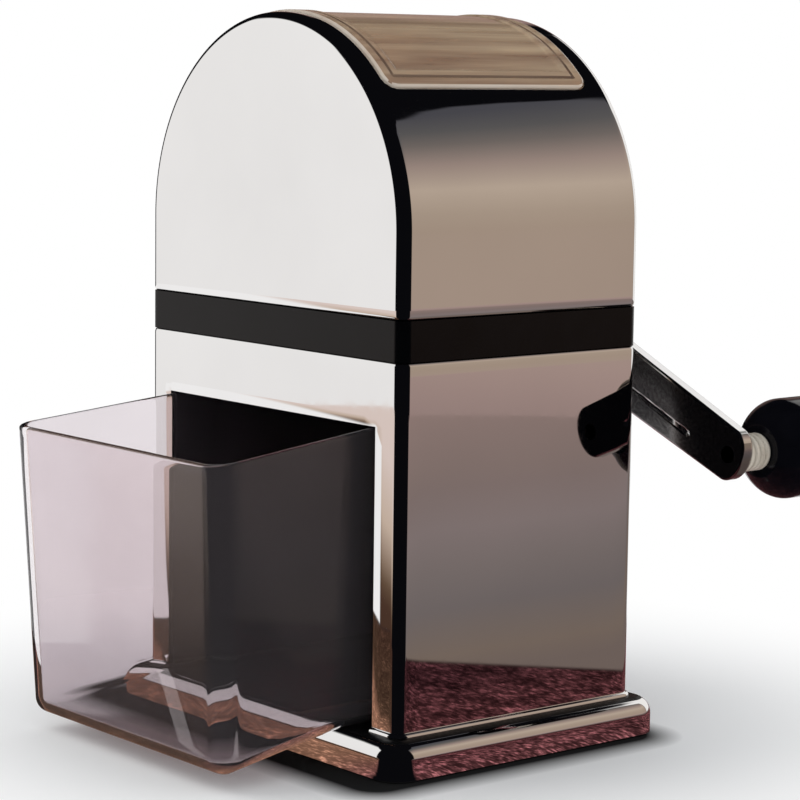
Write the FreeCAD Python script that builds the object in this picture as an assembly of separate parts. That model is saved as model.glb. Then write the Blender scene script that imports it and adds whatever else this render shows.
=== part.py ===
import FreeCAD, Part
import math
import os

# Hand cranked ice crusher: an arch-topped metal casing on a base plate, a clear lid
# over the hopper, a clear tray that slides out of the front, and a crank at the back.
# Millimetres. +Z is up, -Y is the front with the tray opening, +Y the crank side.
# The origin is the centre of the underside that stands on the table.

V = FreeCAD.Vector

# ---- Driving dimensions ---------------------------------------------------------

# Casing
body_width = 144.0            # X, over the two side faces
body_depth = 106.0            # Y, front face to back face
sheet = 1.2                   # wall of both metal casings
edge_round = 4.0              # rolled edges of front and back faces
band_height = 13.5            # plain band between the casings
upper_straight = 27.5         # upper casing, band to where the arch springs

# Fits
cut_over = 1.0                # cutting tools run past the faces they cut
running_gap = 0.05            # radial, shafts and pins that turn
press_gap = 0.02              # radial, pins that stay put
hole_gap = 0.1                # radial, fasteners in clearance holes
fit_gap = 0.3                 # between shells that slip into each other

# Base
base_height = 13.0
base_overhang = 8.0
base_corner = 9.5
base_rim_round = 3.5
base_top_skin = 3.5           # thickness of the plate over its ribbed underside
base_skirt = 4.0
base_rib = 2.5
base_column_count = 7
base_row_count = 5
pad_thickness = 1.8
pad_inset = 1.5

# Front opening and tray
front_post = 13.0             # front face left standing beside the opening
opening_height = 102.0
tray_side_gap = 1.5           # rim to the side of the opening
tray_side_draft = 3.0         # how far each side leans out, floor to rim
tray_wall = 2.2
tray_floor = 2.4
tray_front_reach = 66.0       # rim beyond the casing's front face
tray_front_draft = 7.0        # how far the front wall leans out, floor to rim
tray_back_room = 11.0         # rim to the casing's back face
tray_back_draft = 3.0
tray_corner = 7.0
tray_rim_gap = 0.6            # rim below the top of the opening
tray_rim_drop = 7.2           # rim falls by this much from casing to front
tray_floor_drop = 8.0         # floor at the front wall below the floor on the base
tray_bend_start = 1.0         # floor bends down this far in front of the base
tray_slide_gap = 0.3          # tray floor above the base plate

# Liner of the tray bay
liner_wall = 1.5
liner_side_gap = 0.8
liner_above_opening = 2.0
cage_above_opening = 4.0      # crushing cage over the opening's upper edge

# Band ring: spigots, bosses and pillars
spigot_height = 5.0
spigot_wall = 2.5
ring_inner_round = 1.0
pillar_radius = 5.0
tie_boss_radius = 4.5
tie_boss_height = 12.0
tie_boss_floor = 0.8          # closed end of the screw hole

# Tie screws, base to band
tie_inset = 6.4               # from the casing's side, front and back faces
tie_radius = 2.0
tie_head_radius = 3.8
tie_head_height = 2.6
tie_head_recess = 3.4
slot_depth = 1.2              # driver slots of the screw heads
slot_width = 1.0

# Shaft and bearings
shaft_above_band = 10.5       # shaft axis above the band's lower edge
shaft_radius = 4.0
bush_radius = 6.5
boss_radius = 9.0
bearing_floor = 3.0           # wall left in front of the blind bearing
journal_end_gap = 0.4

# Crushing cage
cage_plate = 2.5
blade_tip_room = 1.5          # plates reach this far past the blade tips
rotor_end_room = 10.0         # outer blade to plate
comb_blade_gap = 11.0         # blade tips to the comb bar
comb_bar_width = 12.0
comb_bar_height = 27.0
comb_tooth_thickness = 3.0
comb_tooth_gap = 3.0          # tooth tip to spacer
comb_tooth_root_height = 14.0
comb_tooth_tip_height = 4.0
tie_rod_radius = 2.5
tie_rod_spread = 15.0         # between the two rods of a comb
tie_rod_stick_out = 4.5
nut_radius = 4.4
nut_height = 3.2
pillar_from_comb = 6.0
plate_past_pillar = 3.0
shaft_hole_gap = 1.0
cage_screw_radius = 2.0
cage_screw_head_radius = 3.6
cage_screw_head_height = 2.4
cage_screw_depth = 8.0

# Rotor
blade_count = 5
blade_pitch = 14.0
blade_thickness = 3.0
blade_radius = 27.0
blade_teeth = 4
blade_root_radius = 13.0
blade_hook = 3.0              # tip falls this far behind its point
blade_rise_share = 0.38       # share of a tooth's step from root to point
blade_tip_share = 0.55
blade_twist = 18.0            # degrees from one blade to the next
drive_square = 9.0
spacer_radius = 9.5
washer_radius = 8.5
washer_thickness = 1.0

# Crank, seen from behind it turns about the shaft
crank_radius = 115.5          # shaft axis to knob axis
crank_rest_angle = -23.2      # degrees above the horizontal, arm towards +X
arm_gap = 5.0                 # hub face behind the casing's back face
arm_hub_boss = 5.0            # boss between escutcheon and arm
arm_thickness = 5.0
arm_width = 19.0
arm_hub_radius = 12.0
arm_hub_boss_radius = 8.5
arm_edge_round = 1.3
tang_square = 5.6
thread_radius = 2.5
thread_length = 7.0
crank_washer_radius = 6.5
crank_washer_thickness = 1.2
cap_nut_radius = 5.6
cap_nut_height = 5.0
cap_nut_dome = 4.6
escutcheon_radius = 13.0

# Knob
stud_radius = 3.0
stud_head_radius = 5.2
stud_head_height = 2.5
collar_radius = 6.5
collar_length = 10.0
collar_groove = 0.7
collar_rib_count = 4
knob_gap = 0.3
knob_radius = 17.5
knob_neck_radius = 9.5
knob_cone_length = 12.0
knob_straight_length = 11.0
knob_end_length = 11.0
knob_end_radius = 12.5
knob_flare_share = 0.72       # of a shoulder's rise, reached half way along it
knob_recess_radius = 7.0
knob_recess_depth = 6.0
knob_cap_thickness = 2.2

# Lid, its seat and hinge
lid_half_angle = 49.0         # degrees either side of the top
lid_front_margin = 7.0        # lid edge to the casing's front face
lid_back_margin = 10.0
lid_thickness = 1.9
lid_corner = 5.0
lid_edge_gap = 0.5
flange_gap = 0.2              # hopper flange under the casing
seat_gap = 0.3
hinge_offset_angle = 3.5      # degrees past the lid's edge
barrel_radius = 2.6
barrel_gap = 0.4              # barrel above the casing
hinge_pin_radius = 1.2
lug_length = 10.0
lug_thickness = 1.3
lug_root_angle = 2.0          # lug laps this far over the lid
pin_stick_out = 0.5
leaf_seat = 0.1
leaf_half_length = 17.0
leaf_thickness = 1.0
leaf_reach_angle = 9.5
leaf_clear = 0.4
rivet_radius = 1.5
rivet_head_radius = 2.6
rivet_head_height = 1.0
rivet_y = 10.0
rivet_angle = 6.5             # degrees past the hinge axis

# Hopper liner
hopper_wall = 1.8
hopper_flange_margin = 2.6    # flange beyond the mouth, all round
hopper_flange_thickness = 2.0
hopper_ledge = 3.5            # width of the ledge that the lid rests on
hopper_throat_width = 72.0
hopper_neck_height = 20.0     # slope from the throat up to the straight walls

# ---- Sizes that follow ----------------------------------------------------------

half_width = body_width / 2
half_depth = body_depth / 2
base_top_z = base_height
opening_top_z = base_top_z + opening_height
opening_width = body_width - 2 * front_post
cage_reach = blade_radius + blade_tip_room
band_z = opening_top_z + cage_above_opening + cage_reach - shaft_above_band
band_top_z = band_z + band_height
arch_z = band_top_z + upper_straight
arch_radius = half_width
shaft_z = band_z + shaft_above_band

tray_rim_width = opening_width - 2 * tray_side_gap
tray_floor_width = tray_rim_width - 2 * tray_side_draft
tray_back_y = half_depth - tray_back_room
tray_rim_z = opening_top_z - tray_rim_gap
tray_back_floor_z = base_top_z + tray_slide_gap
tray_low_z = tray_back_floor_z - tray_floor_drop
tray_front_y = -(half_depth + tray_front_reach)

tie_x = half_width - tie_inset
tie_y = half_depth - tie_inset

rotor_length = (blade_count - 1) * blade_pitch + blade_thickness
cage_inner_y = rotor_length / 2 + rotor_end_room
cage_outer_y = cage_inner_y + cage_plate
cage_top_z = shaft_z + cage_reach
comb_inner_x = blade_radius + comb_blade_gap
comb_outer_x = comb_inner_x + comb_bar_width
comb_tooth_tip_x = spacer_radius + comb_tooth_gap
comb_mid_x = (comb_inner_x + comb_outer_x) / 2
pillar_x = comb_outer_x + pillar_from_comb
cage_plate_width = 2 * (pillar_x + plate_past_pillar)
bearing_depth = half_depth - bearing_floor

shoulder_y = cage_inner_y - washer_thickness - running_gap
escutcheon_y = half_depth + arm_gap
arm_inner_y = escutcheon_y + fit_gap + arm_hub_boss
arm_outer_y = arm_inner_y + arm_thickness
knob_y = arm_outer_y + collar_length + knob_gap
knob_end_y = knob_y + knob_cone_length + knob_straight_length + knob_end_length

casing_inner_radius = arch_radius - sheet
flange_radius = casing_inner_radius - flange_gap
lid_front_y = half_depth - lid_front_margin
lid_back_y = half_depth - lid_back_margin
lid_inner_radius = flange_radius + seat_gap
lid_outer_radius = lid_inner_radius + lid_thickness
lid_mid_y = (lid_back_y - lid_front_y) / 2
strap_radius = arch_radius + barrel_gap
lug_outer_radius = strap_radius + lug_thickness
hinge_angle = -(lid_half_angle + hinge_offset_angle)
hinge_radius = arch_radius + barrel_gap + barrel_radius


# ---- Helpers --------------------------------------------------------------------

def block(x0, x1, y0, y1, z0, z1):
    return Part.makeBox(x1 - x0, y1 - y0, z1 - z0, V(x0, y0, z0))


def rod_y(radius, y0, y1, x, z):
    return Part.makeCylinder(radius, y1 - y0, V(x, y0, z), V(0, 1, 0))


def rod_z(radius, z0, z1, x, y):
    return Part.makeCylinder(radius, z1 - z0, V(x, y, z0), V(0, 0, 1))


def hexagon_y(radius, y0, y1, x, z):
    corners = []
    for i in range(7):
        turn = math.radians(60 * i)
        corners.append(V(x + radius * math.cos(turn), y0, z + radius * math.sin(turn)))
    return Part.Face(Part.makePolygon(corners)).extrude(V(0, y1 - y0, 0))


def square_y(side, y0, y1, x, z, turn=0.0):
    bar = block(x - side / 2, x + side / 2, y0, y1, z - side / 2, z + side / 2)
    bar.rotate(V(x, 0, z), V(0, 1, 0), turn)
    return bar


def upright_block(inset, z0, z1, corner):
    """The casing's plan, drawn in by inset, with rounded upright corners."""
    x = half_width - inset
    y = half_depth - inset
    solid = block(-x, x, -y, y, z0, z1)
    upright = [e for e in solid.Edges if abs(e.tangentAt(e.FirstParameter).z) > 0.9]
    return solid.makeFillet(corner, upright)


def arch_block(inset, z0):
    """The upper casing's form, drawn in by inset, with its long edges rounded."""
    radius = arch_radius - inset
    y = half_depth - inset
    left = V(-radius, -y, arch_z)
    right = V(radius, -y, arch_z)
    arc = Part.Arc(left, V(0, -y, arch_z + radius), right).toShape()
    side_right = Part.makeLine(right, V(radius, -y, z0))
    foot = Part.makeLine(V(radius, -y, z0), V(-radius, -y, z0))
    side_left = Part.makeLine(V(-radius, -y, z0), left)
    face = Part.Face(Part.Wire([arc, side_right, foot, side_left]))
    solid = face.extrude(V(0, 2 * y, 0))
    rim = []
    for edge in solid.Edges:
        box = edge.BoundBox
        in_face = box.YLength < 0.01 and abs(abs(box.YMin) - y) < 0.01
        if in_face and box.ZMax > z0 + 1.0:
            rim.append(edge)
    return solid.makeFillet(edge_round - inset, rim)


def around_arch(radius, angle, y):
    """Point at a radius from the arch's axis, angle in degrees from the top to +X."""
    turn = math.radians(angle)
    return V(radius * math.sin(turn), y, arch_z + radius * math.cos(turn))


def arch_panel(r0, r1, y0, y1, a0, a1, corner=0.0):
    """A piece of tube about the arch's axis, with rounded corners if asked."""
    points = [around_arch(r0, a0, y0), around_arch(r1, a0, y0)]
    points += [around_arch(r1, a0, y1), around_arch(r0, a0, y1)]
    face = Part.Face(Part.makePolygon(points + [points[0]]))
    solid = face.revolve(V(0, 0, arch_z), V(0, 1, 0), a1 - a0)
    if corner > 0:
        radial = [e for e in solid.Edges if abs(e.Length - (r1 - r0)) < 0.001]
        solid = solid.makeFillet(corner, radial)
    return solid


def export(name, shape):
    shape.exportStep("parts/" + name + ".step")


# ---- Base -----------------------------------------------------------------------

def base_outline(inset, z0, z1):
    x = half_width + base_overhang - inset
    y = half_depth + base_overhang - inset
    solid = block(-x, x, -y, y, z0, z1)
    upright = [e for e in solid.Edges if abs(e.tangentAt(e.FirstParameter).z) > 0.9]
    return solid.makeFillet(base_corner - inset, upright)


def tie_places():
    return [(sx * tie_x, sy * tie_y) for sx in (-1, 1) for sy in (-1, 1)]


def make_base_pad():
    return base_outline(pad_inset, 0, pad_thickness)


def make_base_plate():
    plate = base_outline(0, pad_thickness, base_top_z)
    rim = [e for e in plate.Edges if e.BoundBox.ZMin > base_top_z - 0.01]
    plate = plate.makeFillet(base_rim_round, rim)
    reach_x = half_width + base_overhang - base_skirt
    reach_y = half_depth + base_overhang - base_skirt
    cell_x = (2 * reach_x - (base_column_count - 1) * base_rib) / base_column_count
    cell_y = (2 * reach_y - (base_row_count - 1) * base_rib) / base_row_count
    cell_top = base_top_z - base_top_skin
    cells = []
    for i in range(base_column_count):
        for j in range(base_row_count):
            x0 = -reach_x + i * (cell_x + base_rib)
            y0 = -reach_y + j * (cell_y + base_rib)
            cells.append(block(x0, x0 + cell_x, y0, y0 + cell_y, pad_thickness - cut_over, cell_top))
    hollow = Part.makeCompound(cells)
    keep = []
    for x, y in tie_places():
        keep.append(rod_z(tie_head_radius + base_rib, 0, cell_top + cut_over, x, y))
    plate = plate.cut(hollow.cut(Part.makeCompound(keep)))
    for x, y in tie_places():
        recess_top = pad_thickness + tie_head_recess
        plate = plate.cut(rod_z(tie_head_radius + fit_gap, 0, recess_top, x, y))
        plate = plate.cut(rod_z(tie_radius + fit_gap, 0, base_top_z + cut_over, x, y))
    return plate


def make_tie_screws():
    screws = []
    head_top = pad_thickness + tie_head_recess
    tip = band_z - spigot_height + tie_boss_height - tie_boss_floor - hole_gap
    head_low = head_top - tie_head_height
    for x, y in tie_places():
        head = rod_z(tie_head_radius, head_low, head_top, x, y)
        reach = tie_head_radius + cut_over
        half_slot = slot_width / 2
        slot = block(x - reach, x + reach, y - half_slot, y + half_slot, 0, head_low + slot_depth)
        screws.append(head.cut(slot).fuse(rod_z(tie_radius, head_top, tip, x, y)))
    return Part.makeCompound(screws)


# ---- Casings --------------------------------------------------------------------

def make_lower_casing():
    shell = upright_block(0, base_top_z, band_z, edge_round)
    z0 = base_top_z - cut_over
    shell = shell.cut(upright_block(sheet, z0, band_z + cut_over, edge_round - sheet))
    x = opening_width / 2
    front_y = -half_depth - cut_over
    return shell.cut(block(-x, x, front_y, -half_depth + edge_round, z0, opening_top_z))


def mouth_cut(r0, r1, grow):
    grow_angle = math.degrees(grow / arch_radius)
    reach = lid_half_angle + grow_angle
    y0 = -lid_front_y - grow
    y1 = lid_back_y + grow
    return arch_panel(r0, r1, y0, y1, -reach, reach, lid_corner + grow)


def rivet_places():
    return [(hinge_angle - rivet_angle, lid_mid_y + side * rivet_y) for side in (-1, 1)]


def radial_rod(radius, r0, r1, angle, y):
    foot = around_arch(r0, angle, y)
    return Part.makeCylinder(radius, r1 - r0, foot, around_arch(r1, angle, y) - foot)


def make_upper_casing():
    shell = arch_block(0, band_top_z).cut(arch_block(sheet, band_top_z - cut_over))
    r0 = casing_inner_radius - cut_over
    r1 = arch_radius + cut_over
    shell = shell.cut(mouth_cut(r0, r1, lid_edge_gap))
    shell = shell.cut(rod_y(bush_radius + fit_gap, bearing_depth, half_depth + cut_over, 0, shaft_z))
    for angle, y in rivet_places():
        shell = shell.cut(radial_rod(rivet_radius + hole_gap, r0, r1, angle, y))
    return shell


# ---- Band ring and tray bay -----------------------------------------------------

def pillar_places():
    return [(sx * pillar_x, sy) for sx in (-1, 1) for sy in (-1, 1)]


def rod_from_cage(radius, side, reach, x):
    """A rod that starts at a cage plate's outer face and runs outwards."""
    near = side * cage_outer_y
    far = side * (cage_outer_y + reach)
    return rod_y(radius, min(near, far), max(near, far), x, shaft_z)


def make_band_ring():
    low = band_z - spigot_height
    high = band_top_z + spigot_height
    slip = sheet + fit_gap
    ring = upright_block(0, band_z, band_top_z, edge_round)
    ring = ring.fuse(upright_block(slip, low, high, edge_round - slip))
    inner = slip + spigot_wall
    ring = ring.cut(upright_block(inner, low - cut_over, high + cut_over, ring_inner_round))
    wall_reach = half_depth - slip - cage_outer_y
    bosses = [rod_from_cage(boss_radius, side, wall_reach, 0) for side in (-1, 1)]
    bosses += [rod_from_cage(pillar_radius, side, wall_reach, x) for x, side in pillar_places()]
    for x, y in tie_places():
        bosses.append(rod_z(tie_boss_radius, low, low + tie_boss_height, x, y))
    ring = ring.fuse(bosses)
    ring = ring.cut(rod_from_cage(bush_radius, -1, bearing_depth - cage_outer_y, 0))
    ring = ring.cut(rod_from_cage(bush_radius, 1, half_depth + cut_over - cage_outer_y, 0))
    for x, side in pillar_places():
        ring = ring.cut(rod_from_cage(cage_screw_radius, side, cage_screw_depth, x))
    for x, y in tie_places():
        hole_top = low + tie_boss_height - tie_boss_floor
        ring = ring.cut(rod_z(tie_radius, low - cut_over, hole_top, x, y))
    return ring.removeSplitter()


def make_tray_bay_liner():
    inner_x = tray_rim_width / 2 + liner_side_gap
    inner_y = tray_back_y + liner_side_gap
    front_y = -(half_depth - sheet - fit_gap)
    top_z = opening_top_z + liner_above_opening
    outer_x = inner_x + liner_wall
    liner = block(-outer_x, outer_x, front_y, inner_y + liner_wall, base_top_z, top_z)
    z0 = base_top_z - cut_over
    return liner.cut(block(-inner_x, inner_x, front_y - cut_over, inner_y, z0, top_z + cut_over))


# ---- Bearings and cage ----------------------------------------------------------

def make_front_bush():
    bush = rod_y(bush_radius, -bearing_depth, -cage_outer_y, 0, shaft_z)
    return bush.cut(rod_y(shaft_radius + running_gap, -half_depth, 0, 0, shaft_z))


def make_back_bush():
    bush = rod_y(bush_radius, cage_outer_y, half_depth, 0, shaft_z)
    return bush.cut(rod_y(shaft_radius + running_gap, 0, half_depth + cut_over, 0, shaft_z))


def rod_places():
    rise = tie_rod_spread / 2
    return [(sx * comb_mid_x, shaft_z + sz * rise) for sx in (-1, 1) for sz in (-1, 1)]


def make_cage_plate(side):
    x = cage_plate_width / 2
    y0 = cage_inner_y if side > 0 else -cage_outer_y
    y1 = y0 + cage_plate
    plate = block(-x, x, y0, y1, shaft_z - cage_reach, cage_top_z)
    corners = [e for e in plate.Edges if abs(e.tangentAt(e.FirstParameter).y) > 0.9]
    plate = plate.makeFillet(pillar_radius, corners)
    holes = [(shaft_radius + shaft_hole_gap, 0, shaft_z)]
    holes += [(tie_rod_radius + hole_gap, rod_x, z) for rod_x, z in rod_places()]
    holes += [(cage_screw_radius + fit_gap, hole_x, shaft_z) for hole_x in (-pillar_x, pillar_x)]
    for radius, hole_x, z in holes:
        plate = plate.cut(rod_y(radius, y0 - cut_over, y1 + cut_over, hole_x, z))
    return plate


def make_comb(side):
    """A bar between the plates, with a fixed tooth beside each blade."""
    z0 = shaft_z - comb_bar_height / 2
    z1 = z0 + comb_bar_height
    bar = block(comb_inner_x, comb_outer_x, -cage_inner_y, cage_inner_y, z0, z1)
    teeth = []
    for i in range(blade_count + 1):
        y = (i - blade_count / 2) * blade_pitch - comb_tooth_thickness / 2
        root = comb_tooth_root_height / 2
        tip = comb_tooth_tip_height / 2
        root_x = comb_inner_x + cut_over
        points = [V(root_x, y, shaft_z - root), V(comb_tooth_tip_x, y, shaft_z - tip)]
        points += [V(comb_tooth_tip_x, y, shaft_z + tip), V(root_x, y, shaft_z + root)]
        tooth = Part.Face(Part.makePolygon(points + [points[0]]))
        teeth.append(tooth.extrude(V(0, comb_tooth_thickness, 0)))
    comb = bar.fuse(teeth).removeSplitter()
    for x, z in rod_places():
        if x > 0:
            comb = comb.cut(rod_y(tie_rod_radius + hole_gap, -cage_outer_y, cage_outer_y, x, z))
    if side < 0:
        comb = comb.mirror(V(0, 0, 0), V(1, 0, 0))
    return comb


def make_cage_tie_rods():
    y = cage_outer_y + tie_rod_stick_out
    return Part.makeCompound([rod_y(tie_rod_radius, -y, y, x, z) for x, z in rod_places()])


def make_cage_nuts():
    nuts = []
    for x, z in rod_places():
        for y0 in (-cage_outer_y - nut_height, cage_outer_y):
            nut = hexagon_y(nut_radius, y0, y0 + nut_height, x, z)
            bore = rod_y(tie_rod_radius + running_gap, y0 - cut_over, y0 + nut_height + cut_over, x, z)
            nuts.append(nut.cut(bore))
    return Part.makeCompound(nuts)


def make_cage_screws():
    screws = []
    tip_y = cage_outer_y + cage_screw_depth - hole_gap
    half_slot = slot_width / 2
    for x, side in pillar_places():
        head_y = cage_inner_y - cage_screw_head_height
        head = rod_y(cage_screw_head_radius, head_y, cage_inner_y, x, shaft_z)
        reach = cage_screw_head_radius + cut_over
        z0 = shaft_z - half_slot
        slot = block(x - reach, x + reach, 0, head_y + slot_depth, z0, z0 + slot_width)
        screw = head.cut(slot).fuse(rod_y(cage_screw_radius, cage_inner_y, tip_y, x, shaft_z))
        if side < 0:
            screw = screw.mirror(V(0, 0, 0), V(0, 1, 0))
        screws.append(screw)
    return Part.makeCompound(screws)


# ---- Rotor ----------------------------------------------------------------------

def make_rotor_shaft():
    shaft = rod_y(shaft_radius, -bearing_depth + journal_end_gap, arm_inner_y, 0, shaft_z)
    shaft = shaft.fuse(square_y(drive_square, -shoulder_y, shoulder_y, 0, shaft_z))
    tang = square_y(tang_square, arm_inner_y, arm_outer_y - fit_gap, 0, shaft_z, -crank_rest_angle)
    thread_end = arm_outer_y + thread_length
    thread = rod_y(thread_radius, arm_inner_y, thread_end, 0, shaft_z)
    return shaft.fuse([tang, thread]).removeSplitter()


def blade_y(index):
    return (index - (blade_count - 1) / 2) * blade_pitch


def make_blade(index):
    """A star of hooked teeth with a square hole for the shaft."""
    y0 = blade_y(index) - blade_thickness / 2
    step = 360.0 / blade_teeth
    tooth = [(0.0, blade_root_radius), (blade_rise_share, blade_radius)]
    tooth += [(blade_tip_share, blade_radius - blade_hook)]
    points = []
    for i in range(blade_teeth):
        for share, radius in tooth:
            turn = math.radians(step * (i + share) + blade_twist * index)
            points.append(V(radius * math.sin(turn), y0, shaft_z + radius * math.cos(turn)))
    blade = Part.Face(Part.makePolygon(points + [points[0]])).extrude(V(0, blade_thickness, 0))
    hub = rod_y(blade_root_radius, y0, y0 + blade_thickness, 0, shaft_z)
    blade = blade.fuse(hub).removeSplitter()
    hole = drive_square + 2 * running_gap
    return blade.cut(square_y(hole, y0 - cut_over, y0 + blade_thickness + cut_over, 0, shaft_z))


def make_spacer(index):
    """A sleeve on the square bar, between two blades or beside the last one."""
    reach = blade_thickness / 2
    y0 = blade_y(index - 1) + reach if index > 0 else -shoulder_y
    y1 = blade_y(index) - reach if index < blade_count else shoulder_y
    bore = drive_square / math.sqrt(2) + hole_gap
    hole = rod_y(bore, y0 - cut_over, y1 + cut_over, 0, shaft_z)
    return rod_y(spacer_radius, y0, y1, 0, shaft_z).cut(hole)


def make_thrust_washers():
    rings = []
    for y0 in (-shoulder_y - washer_thickness, shoulder_y):
        y1 = y0 + washer_thickness
        bore = rod_y(shaft_radius + running_gap, y0 - cut_over, y1 + cut_over, 0, shaft_z)
        rings.append(rod_y(washer_radius, y0, y1, 0, shaft_z).cut(bore))
    return Part.makeCompound(rings)


# ---- Crank and knob -------------------------------------------------------------

def turn_to_rest(shape):
    """Turn a crank piece, drawn along +X, to its rest angle about the shaft."""
    shape.rotate(V(0, 0, shaft_z), V(0, 1, 0), -crank_rest_angle)
    return shape


def make_escutcheon():
    plate = rod_y(escutcheon_radius, half_depth, escutcheon_y, 0, shaft_z)
    rim = [e for e in plate.Edges if e.BoundBox.YMin > escutcheon_y - 0.01]
    plate = plate.makeFillet(arm_gap / 2, rim)
    hole = rod_y(shaft_radius + fit_gap, half_depth - cut_over, escutcheon_y + cut_over, 0, shaft_z)
    return plate.cut(hole)


def make_crank_arm():
    hub = V(0, arm_inner_y, shaft_z)
    pin = V(crank_radius, arm_inner_y, shaft_z)
    half = arm_width / 2
    lean = math.asin((arm_hub_radius - half) / crank_radius)
    up = V(math.sin(lean), 0, math.cos(lean))
    down = V(math.sin(lean), 0, -math.cos(lean))
    hub_top = hub + up * arm_hub_radius
    hub_low = hub + down * arm_hub_radius
    pin_top = pin + up * half
    pin_low = pin + down * half
    hub_arc = Part.Arc(hub_low, hub + V(-arm_hub_radius, 0, 0), hub_top).toShape()
    pin_arc = Part.Arc(pin_top, pin + V(half, 0, 0), pin_low).toShape()
    upper = Part.makeLine(hub_top, pin_top)
    lower = Part.makeLine(pin_low, hub_low)
    arm = Part.Face(Part.Wire([hub_arc, upper, pin_arc, lower])).extrude(V(0, arm_thickness, 0))
    arm = arm.makeFillet(arm_edge_round, [e for e in arm.Edges if e.BoundBox.YLength < 0.01])
    boss_y = arm_inner_y - arm_hub_boss
    y0 = arm_inner_y - cut_over
    y1 = arm_outer_y + cut_over
    arm = arm.fuse(rod_y(arm_hub_boss_radius, boss_y, arm_inner_y + cut_over, 0, shaft_z))
    arm = arm.cut(rod_y(shaft_radius + press_gap, boss_y - cut_over, arm_inner_y, 0, shaft_z))
    arm = arm.cut(square_y(tang_square + 2 * press_gap, y0, y1, 0, shaft_z))
    arm = arm.cut(rod_y(stud_radius + press_gap, y0, y1, crank_radius, shaft_z))
    return turn_to_rest(arm)


def make_crank_washer():
    y1 = arm_outer_y + crank_washer_thickness
    washer = rod_y(crank_washer_radius, arm_outer_y, y1, 0, shaft_z)
    return washer.cut(rod_y(thread_radius + hole_gap, arm_outer_y - cut_over, y1 + cut_over, 0, shaft_z))


def make_crank_cap_nut():
    y0 = arm_outer_y + crank_washer_thickness
    nut = hexagon_y(cap_nut_radius, y0, y0 + cap_nut_height, 0, shaft_z)
    dome = Part.makeSphere(cap_nut_dome, V(0, y0 + cap_nut_height, shaft_z))
    nut = nut.fuse(dome).removeSplitter()
    bore_end = arm_outer_y + thread_length + fit_gap
    return nut.cut(rod_y(thread_radius + press_gap, y0 - cut_over, bore_end, 0, shaft_z))


def make_knob_stud():
    head_y = knob_end_y - knob_recess_depth + hole_gap
    stud = rod_y(stud_radius, arm_inner_y, head_y, crank_radius, shaft_z)
    head = rod_y(stud_head_radius, head_y, head_y + stud_head_height, crank_radius, shaft_z)
    return turn_to_rest(stud.fuse(head))


def make_knob_collar():
    """A turned ferrule with rounded ribs."""
    end_y = arm_outer_y + collar_length
    pitch = collar_length / collar_rib_count
    rib_width = pitch - collar_groove
    collar = rod_y(collar_radius - collar_groove, arm_outer_y, end_y, crank_radius, shaft_z)
    for i in range(collar_rib_count):
        y0 = arm_outer_y + i * pitch + collar_groove / 2
        rib = rod_y(collar_radius, y0, y0 + rib_width, crank_radius, shaft_z)
        rims = [e for e in rib.Edges if e.BoundBox.YLength < 0.01]
        collar = collar.fuse(rib.makeFillet(collar_groove / 3, rims))
    bore = rod_y(stud_radius + press_gap, arm_outer_y - cut_over, end_y + cut_over, crank_radius, shaft_z)
    return turn_to_rest(collar.cut(bore).removeSplitter())


def make_knob():
    """Turned about the stud: a flaring shoulder, a straight grip and a drawn-in end."""
    shoulder_y0 = knob_y + knob_cone_length
    grip_y = shoulder_y0 + knob_straight_length

    def at(radius, y):
        return V(crank_radius + radius, y, shaft_z)

    neck = at(knob_neck_radius, knob_y)
    shoulder = at(knob_radius, shoulder_y0)
    grip = at(knob_radius, grip_y)
    end = at(knob_end_radius, knob_end_y)
    flare = knob_flare_share * (knob_radius - knob_neck_radius)
    middle = at(knob_neck_radius + flare, knob_y + knob_cone_length / 2)
    drop = (1 - knob_flare_share) * (knob_radius - knob_end_radius)
    end_middle = at(knob_radius - drop, grip_y + knob_end_length / 2)
    edges = [Part.makeLine(at(0, knob_y), neck), Part.Arc(neck, middle, shoulder).toShape()]
    edges += [Part.makeLine(shoulder, grip), Part.Arc(grip, end_middle, end).toShape()]
    edges += [Part.makeLine(end, at(0, knob_end_y)), Part.makeLine(at(0, knob_end_y), at(0, knob_y))]
    knob = Part.Face(Part.Wire(edges)).revolve(at(0, 0), V(0, 1, 0), 360)
    recess_y = knob_end_y - knob_recess_depth
    bore = rod_y(stud_radius + running_gap, knob_y - cut_over, knob_end_y, crank_radius, shaft_z)
    recess = rod_y(knob_recess_radius, recess_y, knob_end_y + cut_over, crank_radius, shaft_z)
    knob = knob.cut(bore).cut(recess)
    return turn_to_rest(knob)


def make_knob_cap():
    y0 = knob_end_y - knob_cap_thickness
    radius = knob_recess_radius - running_gap
    return turn_to_rest(rod_y(radius, y0, knob_end_y, crank_radius, shaft_z))


# ---- Tray -----------------------------------------------------------------------

def rounded_wire(x, y0, y1, z, corner):
    """Closed outline with rounded corners, always begun at the same place."""
    k = corner * (1 - math.sqrt(0.5))
    corners = [(x, y0, 1, 1), (x, y1, 1, -1), (-x, y1, -1, -1), (-x, y0, -1, 1)]
    starts = []
    for cx, cy, sx, sy in corners:
        along_x = V(cx - sx * corner, cy, z)
        along_y = V(cx, cy + sy * corner, z)
        mid = V(cx - sx * k, cy + sy * k, z)
        first_is_x = sx * sy > 0
        starts.append((along_x, mid, along_y) if first_is_x else (along_y, mid, along_x))
    edges = []
    for i, (start, mid, end) in enumerate(starts):
        edges.append(Part.Arc(start, mid, end).toShape())
        edges.append(Part.makeLine(end, starts[(i + 1) % 4][0]))
    return Part.Wire(edges)


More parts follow.
